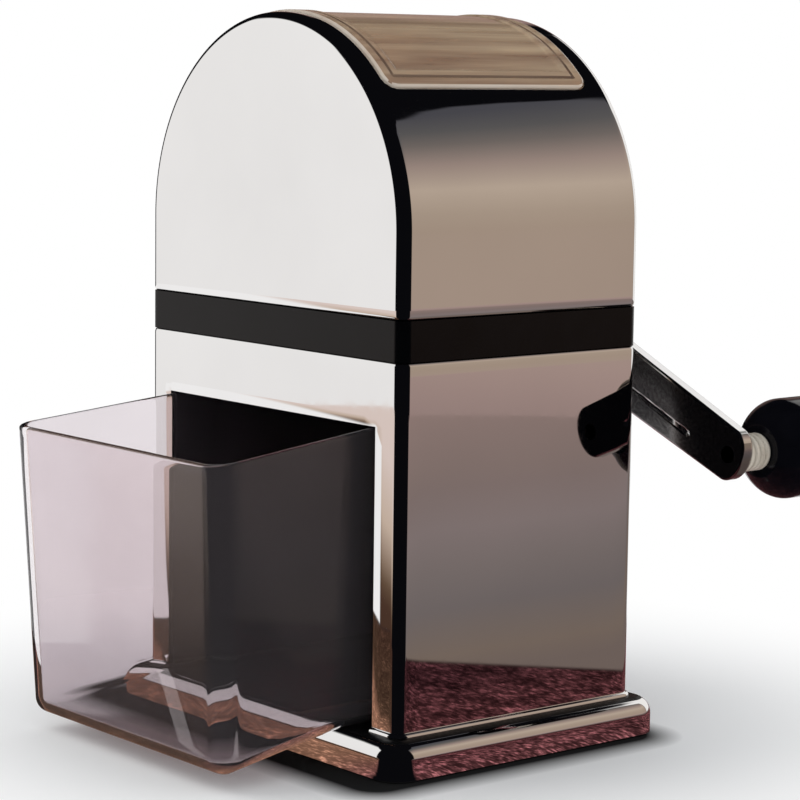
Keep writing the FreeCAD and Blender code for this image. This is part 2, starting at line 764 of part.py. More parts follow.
def tray_tub(inset):
    """The tray's tapering form, drawn in by inset on all four sides."""
    def outline(z):
        share = (z - tray_low_z) / (tray_rim_z - tray_low_z)
        x = (tray_floor_width + share * (tray_rim_width - tray_floor_width)) / 2 - inset
        y0 = tray_front_y + (1 - share) * tray_front_draft + inset
        y1 = tray_back_y - (1 - share) * tray_back_draft - inset
        return rounded_wire(x, y0, y1, z, tray_corner - inset)
    ends = [outline(tray_low_z - cut_over), outline(tray_rim_z + 2 * cut_over)]
    return Part.makeLoft(ends, True, True)


def tray_side_profile(lift, rim_lift):
    """Slab with the tray's bent floor, raised by lift, and its sloping rim."""
    bend_y = -(half_depth + base_overhang + tray_bend_start)
    wall_y = tray_front_y + tray_front_draft
    floor_slope = tray_floor_drop / (bend_y - wall_y)
    rim_slope = tray_rim_drop / tray_front_reach
    back = tray_back_y + cut_over
    front = tray_front_y - cut_over
    high = tray_back_floor_z + lift
    low = high - floor_slope * (bend_y - front)
    rim = tray_rim_z + rim_lift
    front_rim = rim - rim_slope * (-half_depth - front)
    corners = [V(0, back, high), V(0, bend_y, high), V(0, front, low), V(0, front, front_rim)]
    corners += [V(0, -half_depth, rim), V(0, back, rim), V(0, back, high)]
    slab = Part.Face(Part.makePolygon(corners)).extrude(V(body_width, 0, 0))
    slab.translate(V(-half_width, 0, 0))
    return slab


def make_tray():
    outside = tray_tub(0).common(tray_side_profile(0, 0))
    inside = tray_tub(tray_wall).common(tray_side_profile(tray_floor, cut_over))
    return outside.cut(inside)


# ---- Hopper and lid -------------------------------------------------------------

def hopper_prism(grow, z_low, z_high, y0, y1):
    """Funnel form in X: throat, slope, straight walls up to the mouth."""
    throat = hopper_throat_width / 2 + grow
    ledge_angle = lid_half_angle - math.degrees(hopper_ledge / arch_radius)
    mouth = flange_radius * math.sin(math.radians(ledge_angle)) + grow
    neck_z = cage_top_z + hopper_neck_height
    points = [V(-throat, y0, z_low), V(throat, y0, z_low), V(throat, y0, cage_top_z)]
    points += [V(mouth, y0, neck_z), V(mouth, y0, z_high), V(-mouth, y0, z_high)]
    points += [V(-mouth, y0, neck_z), V(-throat, y0, cage_top_z), V(-throat, y0, z_low)]
    return Part.Face(Part.makePolygon(points)).extrude(V(0, y1 - y0, 0))


def make_hopper_liner():
    y0 = -lid_front_y + hopper_ledge
    y1 = lid_back_y - hopper_ledge
    top = arch_z + flange_radius
    funnel = hopper_prism(hopper_wall, cage_top_z, top, y0 - hopper_wall, y1 + hopper_wall)
    under = rod_y(flange_radius, -half_depth, half_depth, 0, arch_z)
    under = under.fuse(block(-flange_radius, flange_radius, -half_depth, half_depth, band_z, arch_z))
    funnel = funnel.common(under)
    reach = lid_half_angle + math.degrees(hopper_flange_margin / arch_radius)
    r0 = flange_radius - hopper_flange_thickness
    front = -lid_front_y - hopper_flange_margin
    back = lid_back_y + hopper_flange_margin
    flange = arch_panel(r0, flange_radius, front, back, -reach, reach)
    liner = funnel.fuse(flange)
    liner = liner.cut(hopper_prism(0, cage_top_z - cut_over, top + cut_over, y0, y1))
    return liner.removeSplitter()


def hinge_barrel(radius, y0, y1):
    centre = around_arch(hinge_radius, hinge_angle, 0)
    return rod_y(radius, y0, y1, centre.x, centre.z)


def lug_spans():
    inner = leaf_half_length + leaf_clear
    outer = inner + lug_length
    return [(lid_mid_y - outer, lid_mid_y - inner), (lid_mid_y + inner, lid_mid_y + outer)]


def make_lid():
    reach = lid_half_angle
    root = -reach + lug_root_angle
    r0 = lid_inner_radius
    lid = arch_panel(r0, lid_outer_radius, -lid_front_y, lid_back_y, -reach, reach, lid_corner)
    for y0, y1 in lug_spans():
        lap = arch_panel(r0, lug_outer_radius, y0, y1, -reach, root)
        strap = arch_panel(strap_radius, lug_outer_radius, y0, y1, hinge_angle, -reach)
        lid = lid.fuse(lap).fuse(strap).fuse(hinge_barrel(barrel_radius, y0, y1))
    for y0, y1 in lug_spans():
        lid = lid.cut(hinge_barrel(hinge_pin_radius + running_gap, y0 - cut_over, y1 + cut_over))
    return lid.removeSplitter()


def make_hinge_leaf():
    y0 = lid_mid_y - leaf_half_length
    y1 = lid_mid_y + leaf_half_length
    far = hinge_angle - leaf_reach_angle
    seat = arch_radius + leaf_seat
    leaf = arch_panel(seat, seat + leaf_thickness, y0, y1, far, hinge_angle)
    leaf = leaf.fuse(hinge_barrel(barrel_radius, y0, y1))
    leaf = leaf.cut(hinge_barrel(hinge_pin_radius + press_gap, y0 - cut_over, y1 + cut_over))
    for angle, y in rivet_places():
        r1 = seat + leaf_thickness + cut_over
        leaf = leaf.cut(radial_rod(rivet_radius + hole_gap, arch_radius, r1, angle, y))
    return leaf


def make_hinge_rivets():
    rivets = []
    top = arch_radius + leaf_seat + leaf_thickness
    for angle, y in rivet_places():
        shank = radial_rod(rivet_radius, casing_inner_radius - rivet_head_height, top, angle, y)
        head = radial_rod(rivet_head_radius, top, top + rivet_head_height, angle, y)
        rivets.append(shank.fuse(head))
    return Part.makeCompound(rivets)


def make_hinge_pin():
    spans = lug_spans()
    return hinge_barrel(hinge_pin_radius, spans[0][0] - pin_stick_out, spans[1][1] + pin_stick_out)


# ---- Write every piece ----------------------------------------------------------

os.makedirs("parts", exist_ok=True)
export("base_pad", make_base_pad())
export("base_plate", make_base_plate())
export("tie_screws", make_tie_screws())
export("lower_casing", make_lower_casing())
export("tray_bay_liner", make_tray_bay_liner())
export("band_ring", make_band_ring())
export("upper_casing", make_upper_casing())
export("hopper_liner", make_hopper_liner())
export("lid", make_lid())
export("hinge_leaf", make_hinge_leaf())
export("hinge_rivets", make_hinge_rivets())
export("hinge_pin", make_hinge_pin())
export("front_bush", make_front_bush())
export("back_bush", make_back_bush())
export("cage_front_plate", make_cage_plate(-1))
export("cage_back_plate", make_cage_plate(1))
export("comb_left", make_comb(-1))
export("comb_right", make_comb(1))
export("cage_tie_rods", make_cage_tie_rods())
export("cage_nuts", make_cage_nuts())
export("cage_screws", make_cage_screws())
export("rotor_shaft", make_rotor_shaft())
for number in range(blade_count):
    export("rotor_blade_%d" % (number + 1), make_blade(number))
for number in range(blade_count + 1):
    export("rotor_spacer_%d" % (number + 1), make_spacer(number))
export("thrust_washers", make_thrust_washers())
export("shaft_escutcheon", make_escutcheon())
export("crank_arm", make_crank_arm())
export("crank_washer", make_crank_washer())
export("crank_cap_nut", make_crank_cap_nut())
export("knob_stud", make_knob_stud())
export("knob_collar", make_knob_collar())
export("knob", make_knob())
export("knob_cap", make_knob_cap())
export("tray", make_tray())
print("arch axis z", arch_z, "shaft z", shaft_z, "knob from y", knob_y, "to", knob_end_y)
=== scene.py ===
# %% [markdown]
# # A hand cranked ice crusher, dressed in Blender
#
# The crusher is a polished steel tower with an arched top. A black band runs round its waist,
# a tan, half clear lid closes the hopper, a clear tray stands out of the front, and a crank with
# a black knob turns the blades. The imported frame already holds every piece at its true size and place.
# This notebook gives each of them its finish, and rebuilds the ones that meet the eye as smooth
# surfaces worked out with numpy.

# %% The frame
import math

import bmesh
import bpy
import numpy as np
from mathutils import Matrix, Vector


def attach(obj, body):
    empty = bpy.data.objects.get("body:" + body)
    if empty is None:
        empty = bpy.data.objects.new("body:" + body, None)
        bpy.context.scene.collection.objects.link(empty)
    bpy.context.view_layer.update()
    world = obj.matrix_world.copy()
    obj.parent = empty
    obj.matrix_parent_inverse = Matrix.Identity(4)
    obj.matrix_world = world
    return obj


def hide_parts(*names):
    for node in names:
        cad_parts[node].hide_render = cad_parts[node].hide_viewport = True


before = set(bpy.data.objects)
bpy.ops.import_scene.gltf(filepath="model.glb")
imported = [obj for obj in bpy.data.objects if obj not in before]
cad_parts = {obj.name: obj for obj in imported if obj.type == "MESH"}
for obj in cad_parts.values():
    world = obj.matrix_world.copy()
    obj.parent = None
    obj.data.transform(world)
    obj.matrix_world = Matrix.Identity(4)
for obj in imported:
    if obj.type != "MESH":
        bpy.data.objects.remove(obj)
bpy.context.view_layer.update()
MM = 0.001

# %% [markdown]
# A surface is a grid: rows along one parameter, columns along the other, and a quad between
# every four neighbours. Whole arrays hold the points, so a shape is one formula and not a
# pile of loops. A grid that closes on itself joins its last column to its first, and cells that
# fall in an opening are simply not kept. A piece may have several such sheets. They are joined
# where their points touch, and an edge stays sharp where its faces meet at a large angle.

# %% Grids into meshes
def stations(breaks, steps):
    """Positions from the first break to the last, evenly spaced between breaks, no gap over its step."""
    spans = [np.linspace(a, b, max(int(math.ceil(abs(b - a) / s)), 1), endpoint=False)
             for a, b, s in zip(breaks, breaks[1:], steps)]
    return np.concatenate(spans + [[breaks[-1]]])


def grid_faces(rows, columns, close_columns=False, keep=None):
    """Corner numbers of the quads between neighbouring rows and columns; keep picks cells."""
    i, j = np.meshgrid(np.arange(rows - 1), np.arange(columns - (not close_columns)), indexing="ij")
    here, below, j2 = i * columns, (i + 1) * columns, (j + 1) % columns
    quads = np.stack([here + j, below + j, below + j2, here + j2], -1)
    return quads.reshape(-1, 4) if keep is None else quads[keep]


def facing_out(points, faces):
    """Turn the quads over if the volume they enclose, summed as pyramids on the middle, is negative."""
    p = points - points.mean(0)
    a, b, c, d = (p[faces[:, k]] for k in range(4))
    volume = (np.cross(b - a, c - a) * a).sum() + (np.cross(c - a, d - a) * a).sum()
    return faces if volume > 0 else faces[:, ::-1]


def mesh_object(name, points, faces):
    """An object in the scene with a mesh of those points, in metres, and faces."""
    mesh = bpy.data.meshes.new(name)
    mesh.from_pydata(points.reshape(-1, 3).tolist(), [], faces.tolist())
    made = bpy.data.objects.new(name, mesh)
    bpy.context.scene.collection.objects.link(made)
    return made


def piece(name, sheets, finish, body, stands_for=(), sharp=32.0):
    """One object from sheets of (points in millimetres, faces), each turned to face out."""
    points = np.concatenate([p.reshape(-1, 3) for p, _ in sheets]) * MM
    starts = np.cumsum([0] + [p.reshape(-1, 3).shape[0] for p, _ in sheets[:-1]])
    faces = np.concatenate([facing_out(p.reshape(-1, 3), f) + s for (p, f), s in zip(sheets, starts)])
    made = mesh_object(name, points, faces)
    mesh = made.data
    bm = bmesh.new()
    bm.from_mesh(mesh)
    bmesh.ops.remove_doubles(bm, verts=bm.verts, dist=1e-6)
    bmesh.ops.dissolve_degenerate(bm, edges=bm.edges, dist=1e-7)
    bm.to_mesh(mesh)
    bm.free()
    mesh.shade_smooth()
    mesh.set_sharp_from_angle(angle=math.radians(sharp))
    mesh.materials.append(finish)
    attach(made, body)
    if stands_for:
        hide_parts(*stands_for)
    print(f"{name}: {len(mesh.polygons)} faces on {body}")
    return made


def walled(made, wall, rim_round):
    """Give an open skin its sheet thickness inwards, and round the cut edges."""
    solid = made.modifiers.new("sheet", "SOLIDIFY")
    solid.thickness = wall * MM
    solid.offset = -1.0
    bevel = made.modifiers.new("rims", "BEVEL")
    bevel.width = rim_round * MM
    bevel.segments = 2
    bevel.limit_method = "ANGLE"
    bevel.angle_limit = math.radians(50)

# %% [markdown]
# Two kinds of profile come back again and again. A rounded rectangle is the plan of the casing,
# base, tray and lid. A fillet is a quarter circle that leads from one face to the next. Drawing
# a rounded rectangle further in by some inset shortens its corners by the same amount, so the
# loops stay an even distance apart.

# %% Plans and fillets
RADIUS, FACE_Y, ROLL = 72.0, 53.0, 4.0
LEAST_BEND = 0.6


def rounded_loop(half_x, y0, y1, radius, step=4.0, x_marks=(), corner_steps=12, inset=0.0):
    """Anticlockwise loop from the front left, drawn in by the inset: points and outward directions."""
    marks = sorted({-half_x + radius, half_x - radius, *x_marks})
    along = stations(marks, [step] * (len(marks) - 1))
    up = stations([y0 + radius, y1 - radius], [step])
    bend = max(radius - inset, min(radius, LEAST_BEND))
    flat_x, middle, flat_y = half_x - inset - bend, (y0 + y1) / 2, (y1 - y0) / 2 - inset - bend
    along = along * flat_x / (half_x - radius)
    up = middle + (up - middle) * flat_y / ((y1 - y0) / 2 - radius)
    turn = np.radians(np.linspace(-90, 0, corner_steps + 1))[1:-1]
    parts, outward = [], []
    for line, is_x, sign in ((along, True, (1, -1)), (up, False, (1, 1)),
                             (along[::-1], True, (-1, 1)), (up[::-1], False, (-1, -1))):
        normal = np.array([0, sign[1]] if is_x else [sign[0], 0], float)
        reach = np.array([flat_x, flat_y])
        fixed = np.array([0, middle]) + normal * (reach + bend)
        side = np.stack([line, fixed[1] + 0 * line] if is_x else [fixed[0] + 0 * line, line], -1)
        ahead = np.array([-normal[1], normal[0]])
        quarter = np.outer(-np.sin(turn), normal) + np.outer(np.cos(turn), ahead)
        centre = np.array([0, middle]) + reach * (normal + ahead)
        parts += [side, centre + bend * quarter]
        outward += [np.tile(normal, (len(line), 1)), quarter]
    return np.concatenate(parts), np.concatenate(outward)


def fillet(radius, steps=8):
    """Quarter circle as (inset, rise): from full inset at no rise to no inset at full rise."""
    turn = np.radians(np.linspace(0, 90, steps + 1))
    return radius * (1 - np.sin(turn)), radius * (1 - np.cos(turn))


def curled(distance, radius):
    """How far a hem of that radius leans in at a distance from its edge."""
    d = np.clip(distance, 0, radius)
    return radius - np.sqrt(radius ** 2 - (radius - d) ** 2)


loop, loop_out = rounded_loop(RADIUS, -FACE_Y, FACE_Y, ROLL)
print("casing plan:", len(loop), "points, longest outward error", abs(np.hypot(*loop_out.T) - 1).max())

# %% [markdown]
# A material is a small network of nodes. Two helpers keep its description short: one adds a node
# with its settings, the other joins an output to an input.

# %% Nodes and joins
def node_tools(tree):
    """For one node tree: add makes a node with its settings or inputs, join links two sockets."""
    def add(kind, **settings):
        made = tree.nodes.new("ShaderNode" + kind)
        for key, value in settings.items():
            if hasattr(made, key):
                setattr(made, key, value)
            elif key.startswith("input_"):
                made.inputs[int(key[len("input_"):])].default_value = value
            else:
                made.inputs[key.replace("_", " ")].default_value = value
        return made

    def join(source, output, target, socket):
        tree.links.new(source.outputs[output], target.inputs[socket])

    return add, join

# %% [markdown]
# Every finish is built the same way: a noise in object coordinates blends two close colours,
# a finer noise moves the roughness, and a bump gives the skin its faint unevenness. What makes
# one finish differ from the next is how near the two colours lie, how the noise is stretched,
# and the shader's own settings. Numbers that are the same all over are set on the shader itself.

# %% A builder of finishes
NOISE_LOW, NOISE_HIGH = 0.3, 0.7


def finish(name, low, high, rough, scale=40.0, stretch=(1, 1, 1), fine=900.0, bump=0.0,
           bump_scale=300.0, bump_depth=0.0001, **sockets):
    """Principled shader: colour between low and high, roughness between two values, and a bump."""
    material = bpy.data.materials.new(name)
    material.use_nodes = True
    add, join = node_tools(material.node_tree)
    shader = material.node_tree.nodes["Principled BSDF"]
    place = add("TexCoord")
    sized = add("Mapping", Scale=stretch)
    join(place, "Object", sized, "Vector")

    def noise(size, detail):
        made = add("TexNoise", Scale=size, Detail=detail)
        join(sized, "Vector", made, "Vector")
        return made

    broad, close = noise(scale, 4.0), noise(fine, 2.0)
    colours = add("ValToRGB")
    first, last = colours.color_ramp.elements
    first.position, last.position = NOISE_LOW, NOISE_HIGH
    first.color, last.color = (*low, 1), (*high, 1)
    join(broad, "Fac", colours, "Fac")
    join(colours, "Color", shader, "Base Color")
    polish = add("MapRange", From_Min=NOISE_LOW, From_Max=NOISE_HIGH, To_Min=rough[0], To_Max=rough[1])
    join(close, "Fac", polish, "Value")
    join(polish, "Result", shader, "Roughness")
    if bump:
        relief = noise(bump_scale, 1.0)
        raised = add("Bump", Strength=bump, Distance=bump_depth)
        join(relief, "Fac", raised, "Height")
        join(raised, "Normal", shader, "Normal")
    for socket, value in sockets.items():
        shader.inputs[socket.replace("_", " ")].default_value = value
    return material

# %% [markdown]
# The metal is polished steel with a thin chrome plate. It has almost no colour of its own: what
# it shows are its surroundings, a little darkened. Wiping leaves faint smears in the roughness,
# and rolled sheet is never quite flat, so a very broad and shallow bump bends the reflections.
# The flat inner side of the crank arm and most of its pin end take a darker, duller chrome,
# a painted shade that darkens their reflections. The black parts are moulded plastic, the knob
# glossier than the band.

# %% The finishes
chrome_sheet = finish("chromed_sheet", (0.84, 0.835, 0.83), (0.89, 0.885, 0.88), (0.015, 0.045),
                      scale=14, fine=260, bump=0.07, bump_scale=16, bump_depth=0.0006, Metallic=1.0)
chrome_solid = finish("chromed_bar", (0.80, 0.795, 0.79), (0.87, 0.865, 0.86), (0.03, 0.08), scale=60,
                      bump=0.15, bump_scale=120, Metallic=1.0)
chrome_arm = finish("chromed_arm", (0.80, 0.795, 0.79), (0.87, 0.865, 0.86), (0.05, 0.10), scale=60,
                    bump=0.1, bump_scale=120, Metallic=1.0)
# Painted shade: a darker copy of the chrome for the arm's inner face and pin end.
painted_shade_chrome = finish("painted_shade_chrome", (0.34, 0.335, 0.345), (0.44, 0.43, 0.43), (0.16, 0.26), scale=60,
                     bump=0.1, bump_scale=120, Metallic=1.0)
band_black = finish("band_black", (0.0006, 0.0008, 0.0012), (0.0014, 0.0016, 0.0022), (0.16, 0.22),
                    scale=90, bump=0.2, bump_scale=1400, bump_depth=0.00004, Specular_IOR_Level=0.17,
                    Specular_Tint=(1.0, 0.88, 0.82, 1))
knob_black = finish("knob_black", (0.0016, 0.0017, 0.003), (0.004, 0.004, 0.006), (0.10, 0.17),
                    scale=70, bump=0.1, bump_scale=400, Specular_IOR_Level=0.15, Coat_Weight=0.16,
                    Coat_Roughness=0.06)
rubber = finish("pad_rubber", (0.010, 0.009, 0.009), (0.022, 0.020, 0.019), (0.62, 0.80), scale=160,
                bump=0.5, bump_scale=1800, bump_depth=0.0001)
liner_dark = finish("liner_dark", (0.014, 0.012, 0.018), (0.040, 0.033, 0.044), (0.34, 0.48), scale=24,
                    bump=0.1, bump_scale=900, Specular_IOR_Level=0.3)
# Painted dark reflection: a near black finish for the base top round the casing's foot.
painted_dark_reflection = finish("painted_dark_reflection", (0.003, 0.003, 0.004), (0.007, 0.007, 0.008), (0.35, 0.5), scale=80,
                    bump=0.2, bump_scale=900, Specular_IOR_Level=0.2)
hopper_tan = finish("hopper_tan", (0.60, 0.40, 0.24), (0.88, 0.66, 0.44), (0.25, 0.38), scale=70,
                    stretch=(1, 0.08, 1), bump=0.2, bump_scale=500)
collar_alloy = finish("collar_alloy", (0.52, 0.46, 0.38), (0.80, 0.74, 0.64), (0.26, 0.36), scale=120,
                      stretch=(1, 6, 1), Metallic=0.3)
blade_steel = finish("blade_steel", (0.42, 0.42, 0.43), (0.56, 0.56, 0.57), (0.22, 0.36), scale=80,
                     stretch=(1, 1, 8), Metallic=1.0)
bolt_zinc = finish("bolt_zinc", (0.50, 0.51, 0.52), (0.66, 0.66, 0.66), (0.30, 0.46), scale=200,
                   Metallic=1.0)
bush_bronze = finish("bush_bronze", (0.42, 0.27, 0.13), (0.56, 0.38, 0.20), (0.30, 0.42), scale=160,
                     Metallic=1.0)
print("finishes:", len(bpy.data.materials))

# %% [markdown]
# Clear acrylic passes light and bends it, and shows a light sheen at its edges. The tray has a
# faint mauve tint, so its walls can be told from the air. The lid is tan and half clear. It is
# rolled from sheet, which leaves fine lines along it: noise stretched along the crusher's depth
# draws them. Its outer lip is painted paler, a painted sheen along its edge, and the groove
# inside the lip is painted darker, a painted shade.

# %% Clear plastics
clear_tray = finish("clear_tray", (0.83, 0.77, 0.80), (0.88, 0.82, 0.85), (0.0, 0.02), scale=30,
                    bump=0.06, bump_scale=30, bump_depth=0.0004, IOR=1.49, Transmission_Weight=0.98)
clear_lid = finish("clear_lid", (0.52, 0.34, 0.24), (1.0, 0.79, 0.55), (0.03, 0.10), scale=210,
                   stretch=(1, 0.045, 1), bump=0.35, bump_scale=150, bump_depth=0.0003,
                   IOR=1.49, Transmission_Weight=0.60)
# Painted sheen: a paler, less clear copy of the lid for its outer lip.
painted_lip_sheen = finish("painted_lip_sheen", (0.80, 0.66, 0.54), (0.97, 0.90, 0.80), (0.05, 0.12), scale=120,
                 stretch=(1, 0.1, 1), IOR=1.49, Transmission_Weight=0.35)
# Painted shade: a darker copy of the lid for the groove in its lip.
painted_groove_shade = finish("painted_groove_shade", (0.16, 0.10, 0.075), (0.34, 0.24, 0.17), (0.08, 0.16), scale=120,
                    stretch=(1, 0.1, 1), IOR=1.49, Transmission_Weight=0.4)
print("with the plastics:", len(bpy.data.materials))

# %% [markdown]
# The upper casing is a letter D lying on its back: two straight walls, an arch between them, a
# flat face at the front and the back, and a rolled edge all round both faces. One grid holds it
# all. Each point starts from the middle line, goes out along its own direction, and the profile
# says how far: none on the middle line of a face, all the way on the arch. Cells inside the
# hopper's mouth are left out, and the edge round them slides onto the true rounded corner. The
# skin then gets the thickness of its sheet, and its cut rims are rounded.

# %% Upper casing
ARCH_Z, BAND_TOP = 178.0, 150.5
MOUTH_ANGLE, MOUTH_FRONT, MOUTH_BACK, MOUTH_CORNER, HEM = 49.4, -46.5, 43.5, 5.5, 1.4
SHEET, SHEET_ROUND = 1.2, 0.25


def upper_casing():
    """Out from the middle line by radius minus inset; the profile is face, roll, depth, roll, face."""
    hem = BAND_TOP + curled(np.linspace(0, HEM, 7), HEM)[::-1]
    wall = np.concatenate([hem[:-1], stations([BAND_TOP + HEM, ARCH_Z], [3.0])[:-1]])
    corner = math.degrees(MOUTH_CORNER / RADIUS)
    inner = MOUTH_ANGLE - corner
    arc = stations([90, MOUTH_ANGLE, inner, -inner, -MOUTH_ANGLE, -90], [1, 0.4, 1, 0.4, 1])
    angle = np.concatenate([np.full(len(wall), 90.0), arc, np.full(len(wall), -90.0)])
    level = np.concatenate([wall, np.full(len(arc), ARCH_Z), wall[::-1]])
    inset, rise = fillet(ROLL, 14)
    face = np.linspace(RADIUS, ROLL, 10)[:-1]
    depth = stations([-FACE_Y + ROLL, MOUTH_FRONT, MOUTH_FRONT + MOUTH_CORNER,
                      MOUTH_BACK - MOUTH_CORNER, MOUTH_BACK, FACE_Y - ROLL],
                     [0.8, 0.5, 2.5, 0.5, 0.8])[1:-1]
    e = np.concatenate([face, inset, 0 * depth, inset[::-1], face[::-1]])
    y = np.concatenate([0 * face - FACE_Y, rise - FACE_Y, depth, FACE_Y - rise[::-1],
                        0 * face + FACE_Y])
    lean = np.concatenate([0 * face, 1 - inset / ROLL, 0 * depth + 1, 1 - inset[::-1] / ROLL, 0 * face])
    A, E = np.meshgrid(angle, e, indexing="ij")
    Z0, Y = np.meshgrid(level, y, indexing="ij")
    N = np.broadcast_to(lean, A.shape)
    middle = 0.5 * (MOUTH_FRONT + MOUTH_BACK)
    half = (MOUTH_BACK - MOUTH_FRONT) / 2 - MOUTH_CORNER

    def beyond(a, yy):
        """How far past the straight parts of the mouth's edge, along the arch and along Y."""
        return np.abs(np.radians(a)) * RADIUS - math.radians(inner) * RADIUS, np.abs(yy - middle) - half

    a_mid, y_mid = (A[1:, 1:] + A[:-1, :-1]) / 2, (Y[1:, 1:] + Y[:-1, :-1]) / 2
    p, q = beyond(a_mid, y_mid)
    arched = (np.abs(E[1:, 1:]) + np.abs(E[:-1, :-1]) < 1e-9) & (np.abs(a_mid) < 90)
    gone = arched & (np.hypot(np.maximum(p, 0), np.maximum(q, 0)) < MOUTH_CORNER) & (p < MOUTH_CORNER)
    around = np.pad(gone, 1).astype(int)
    touch = around[1:, 1:] + around[:-1, 1:] + around[1:, :-1] + around[:-1, :-1]
    p, q = beyond(A, Y)
    edge = (touch > 0) & (touch < 4) & (p > 0) & (q > 0)
    pull = np.where(edge, MOUTH_CORNER / np.maximum(np.hypot(p, q), 1e-9), 1.0)
    A = np.where(edge, np.sign(A) * np.degrees((math.radians(inner) * RADIUS + p * pull) / RADIUS), A)
    Y = np.where(edge, middle + np.sign(Y - middle) * (half + q * pull), Y)
    turn_in = np.where(np.abs(A) >= 90, curled(Z0 - BAND_TOP, HEM), 0)
    out = RADIUS - E - turn_in * N
    y_shift = turn_in * np.sqrt(1 - N ** 2) * -np.sign(Y)
    X = out * np.sin(np.radians(A))
    Z = Z0 + np.where(np.abs(A) < 90, out * np.cos(np.radians(A)), 0)
    return np.stack([X, Y + y_shift, Z], -1), grid_faces(*A.shape, keep=~gone)


walled(piece("upper_casing_skin", [upper_casing()], chrome_sheet, "housing", ["upper_casing"]), SHEET, SHEET_ROUND)

# %% [markdown]
# The lower casing is the same plan pulled straight up, a loop carried along Z. Its front has the
# large opening for the tray, cut by leaving out the cells between two marked columns and below
# one marked row. The hem at the top curls in a little. The foot is rolled outwards onto the base,
# a quarter of an ellipse that catches a thin line of light between two dark ones.

# %% Lower casing
BASE_TOP, BAND_LOW, OPEN_X, OPEN_TOP = 13.0, 137.0, 59.0, 115.0
FOOT_OUT, FOOT_HIGH = 1.3, 1.5


def lower_casing():
    """The plan at every height, drawn in by the hem's curl at the top and let out at the foot."""
    plan, out = rounded_loop(RADIUS, -FACE_Y, FACE_Y, ROLL, 6, (-OPEN_X, OPEN_X), 14)
    hem = curled(np.linspace(0, HEM, 7), HEM)[::-1]
    turn = np.radians(np.linspace(0, 90, 11))
    z = np.concatenate([BASE_TOP + FOOT_HIGH * np.sin(turn[:-1]),
                        stations([BASE_TOP + FOOT_HIGH, OPEN_TOP, BAND_LOW - HEM], [6, 4]),
                        (BAND_LOW - hem)[::-1][1:]])
    foot = np.clip(1 - (z - BASE_TOP) / FOOT_HIGH, 0, 1)
    lean = curled(BAND_LOW - z, HEM) - FOOT_OUT * np.sqrt(1 - (1 - foot) ** 2)
    points = plan[None] - out[None] * lean[:, None, None]
    points = np.concatenate([points, np.broadcast_to(z[:, None, None], points.shape[:2] + (1,))], -1)
    mid = (plan + np.roll(plan, -1, 0)) / 2
    in_front = (np.abs(mid[:, 0]) < OPEN_X) & (mid[:, 1] < -FACE_Y + 0.1)
    low = (z[1:] + z[:-1]) / 2 < OPEN_TOP
    opening = low[:, None] & in_front[None]
    return points, grid_faces(len(z), len(plan), close_columns=True, keep=~opening)


walled(piece("lower_casing_skin", [lower_casing()], chrome_sheet, "housing", ["lower_casing"]), SHEET, SHEET_ROUND)

# %% [markdown]
# The base is a thick plate with a generous round along its upper rim, which draws a row of
# bright and dark lines in the polish. It is a section carried round the plan: out across the
# top, over the round, down the side, and back in underneath, with a narrow skirt that hides the
# pad. The top round the casing's foot is painted near black, a painted dark reflection band,
# a second finish on those faces alone.

# %% Base plate
BASE_X, BASE_Y, BASE_CORNER, BASE_ROUND = 80.0, 61.0, 9.5, 6.0
SKIRT_LOW, SKIRT_ROUND, SKIRT_WALL, PAD_TOP = 0.3, 0.35, 0.7, 1.8
# Margin and drop of the painted dark reflection band on the base top.
PAINTED_BAND_EDGE, PAINTED_BAND_DROP = 2.7, 0.8


def closed_section(loop_at, section, middle=(0.0, 0.0)):
    """A loop at each (inset, height, share towards the middle); both ends shrink to the middle."""
    rings = [loop_at(inset) * (1 - share) + np.array(middle) * share for inset, _, share in section]
    return np.stack(rings), np.array([height for _, height, _ in section])


def face_centres(made):
    """X, Y and Z of the middle of each face, in millimetres."""
    centres = np.empty(len(made.data.polygons) * 3, np.float32)
    made.data.polygons.foreach_get("center", centres)
    return centres.reshape(-1, 3).T / MM


def second_finish(made, finish, chosen):
    """Give the chosen faces another finish; the others keep theirs."""
    made.data.materials.append(finish)
    index = np.empty(len(made.data.polygons), np.int32)
    made.data.polygons.foreach_get("material_index", index)
    index[chosen] = len(made.data.materials) - 1
    made.data.polygons.foreach_set("material_index", index)
    print(f"{finish.name}: {int(chosen.sum())} faces")


def base_plate():
    """Rounded plan at each inset of the section, which runs from the top's middle to the pad's."""
    inset, rise = fillet(BASE_ROUND, 16)
    small, lift = fillet(SKIRT_ROUND, 4)
    section = [(BASE_ROUND, BASE_TOP, k) for k in np.linspace(1, 0, 8)]
    section += [(i, BASE_TOP - r, 0) for i, r in zip(inset[1:], rise[1:])]
    section += [(i, SKIRT_LOW + r, 0) for i, r in zip(small[::-1], lift[::-1])]
    section += [(SKIRT_WALL - 0.1, SKIRT_LOW, 0), (SKIRT_WALL, SKIRT_LOW + 0.1, 0)]
    section += [(SKIRT_WALL, PAD_TOP, k) for k in np.linspace(0, 1, 5)]
    flat, z = closed_section(
        lambda i: rounded_loop(BASE_X, -BASE_Y, BASE_Y, BASE_CORNER, 8, (), 12, i)[0], section)
    height = np.broadcast_to(z[:, None, None], flat.shape[:2] + (1,))
    return np.concatenate([flat, height], -1), grid_faces(*flat.shape[:2], close_columns=True)


base = piece("base_plate_skin", [base_plate()], chrome_sheet, "housing", ["base_plate"])
x, y, z = face_centres(base)
# Painted dark reflection: the base top round the casing's foot is painted near black.
second_finish(base, painted_dark_reflection, (z > BASE_TOP - PAINTED_BAND_DROP) & (np.abs(x) < BASE_X - PAINTED_BAND_EDGE)
              & (np.abs(y) < BASE_Y - PAINTED_BAND_EDGE))

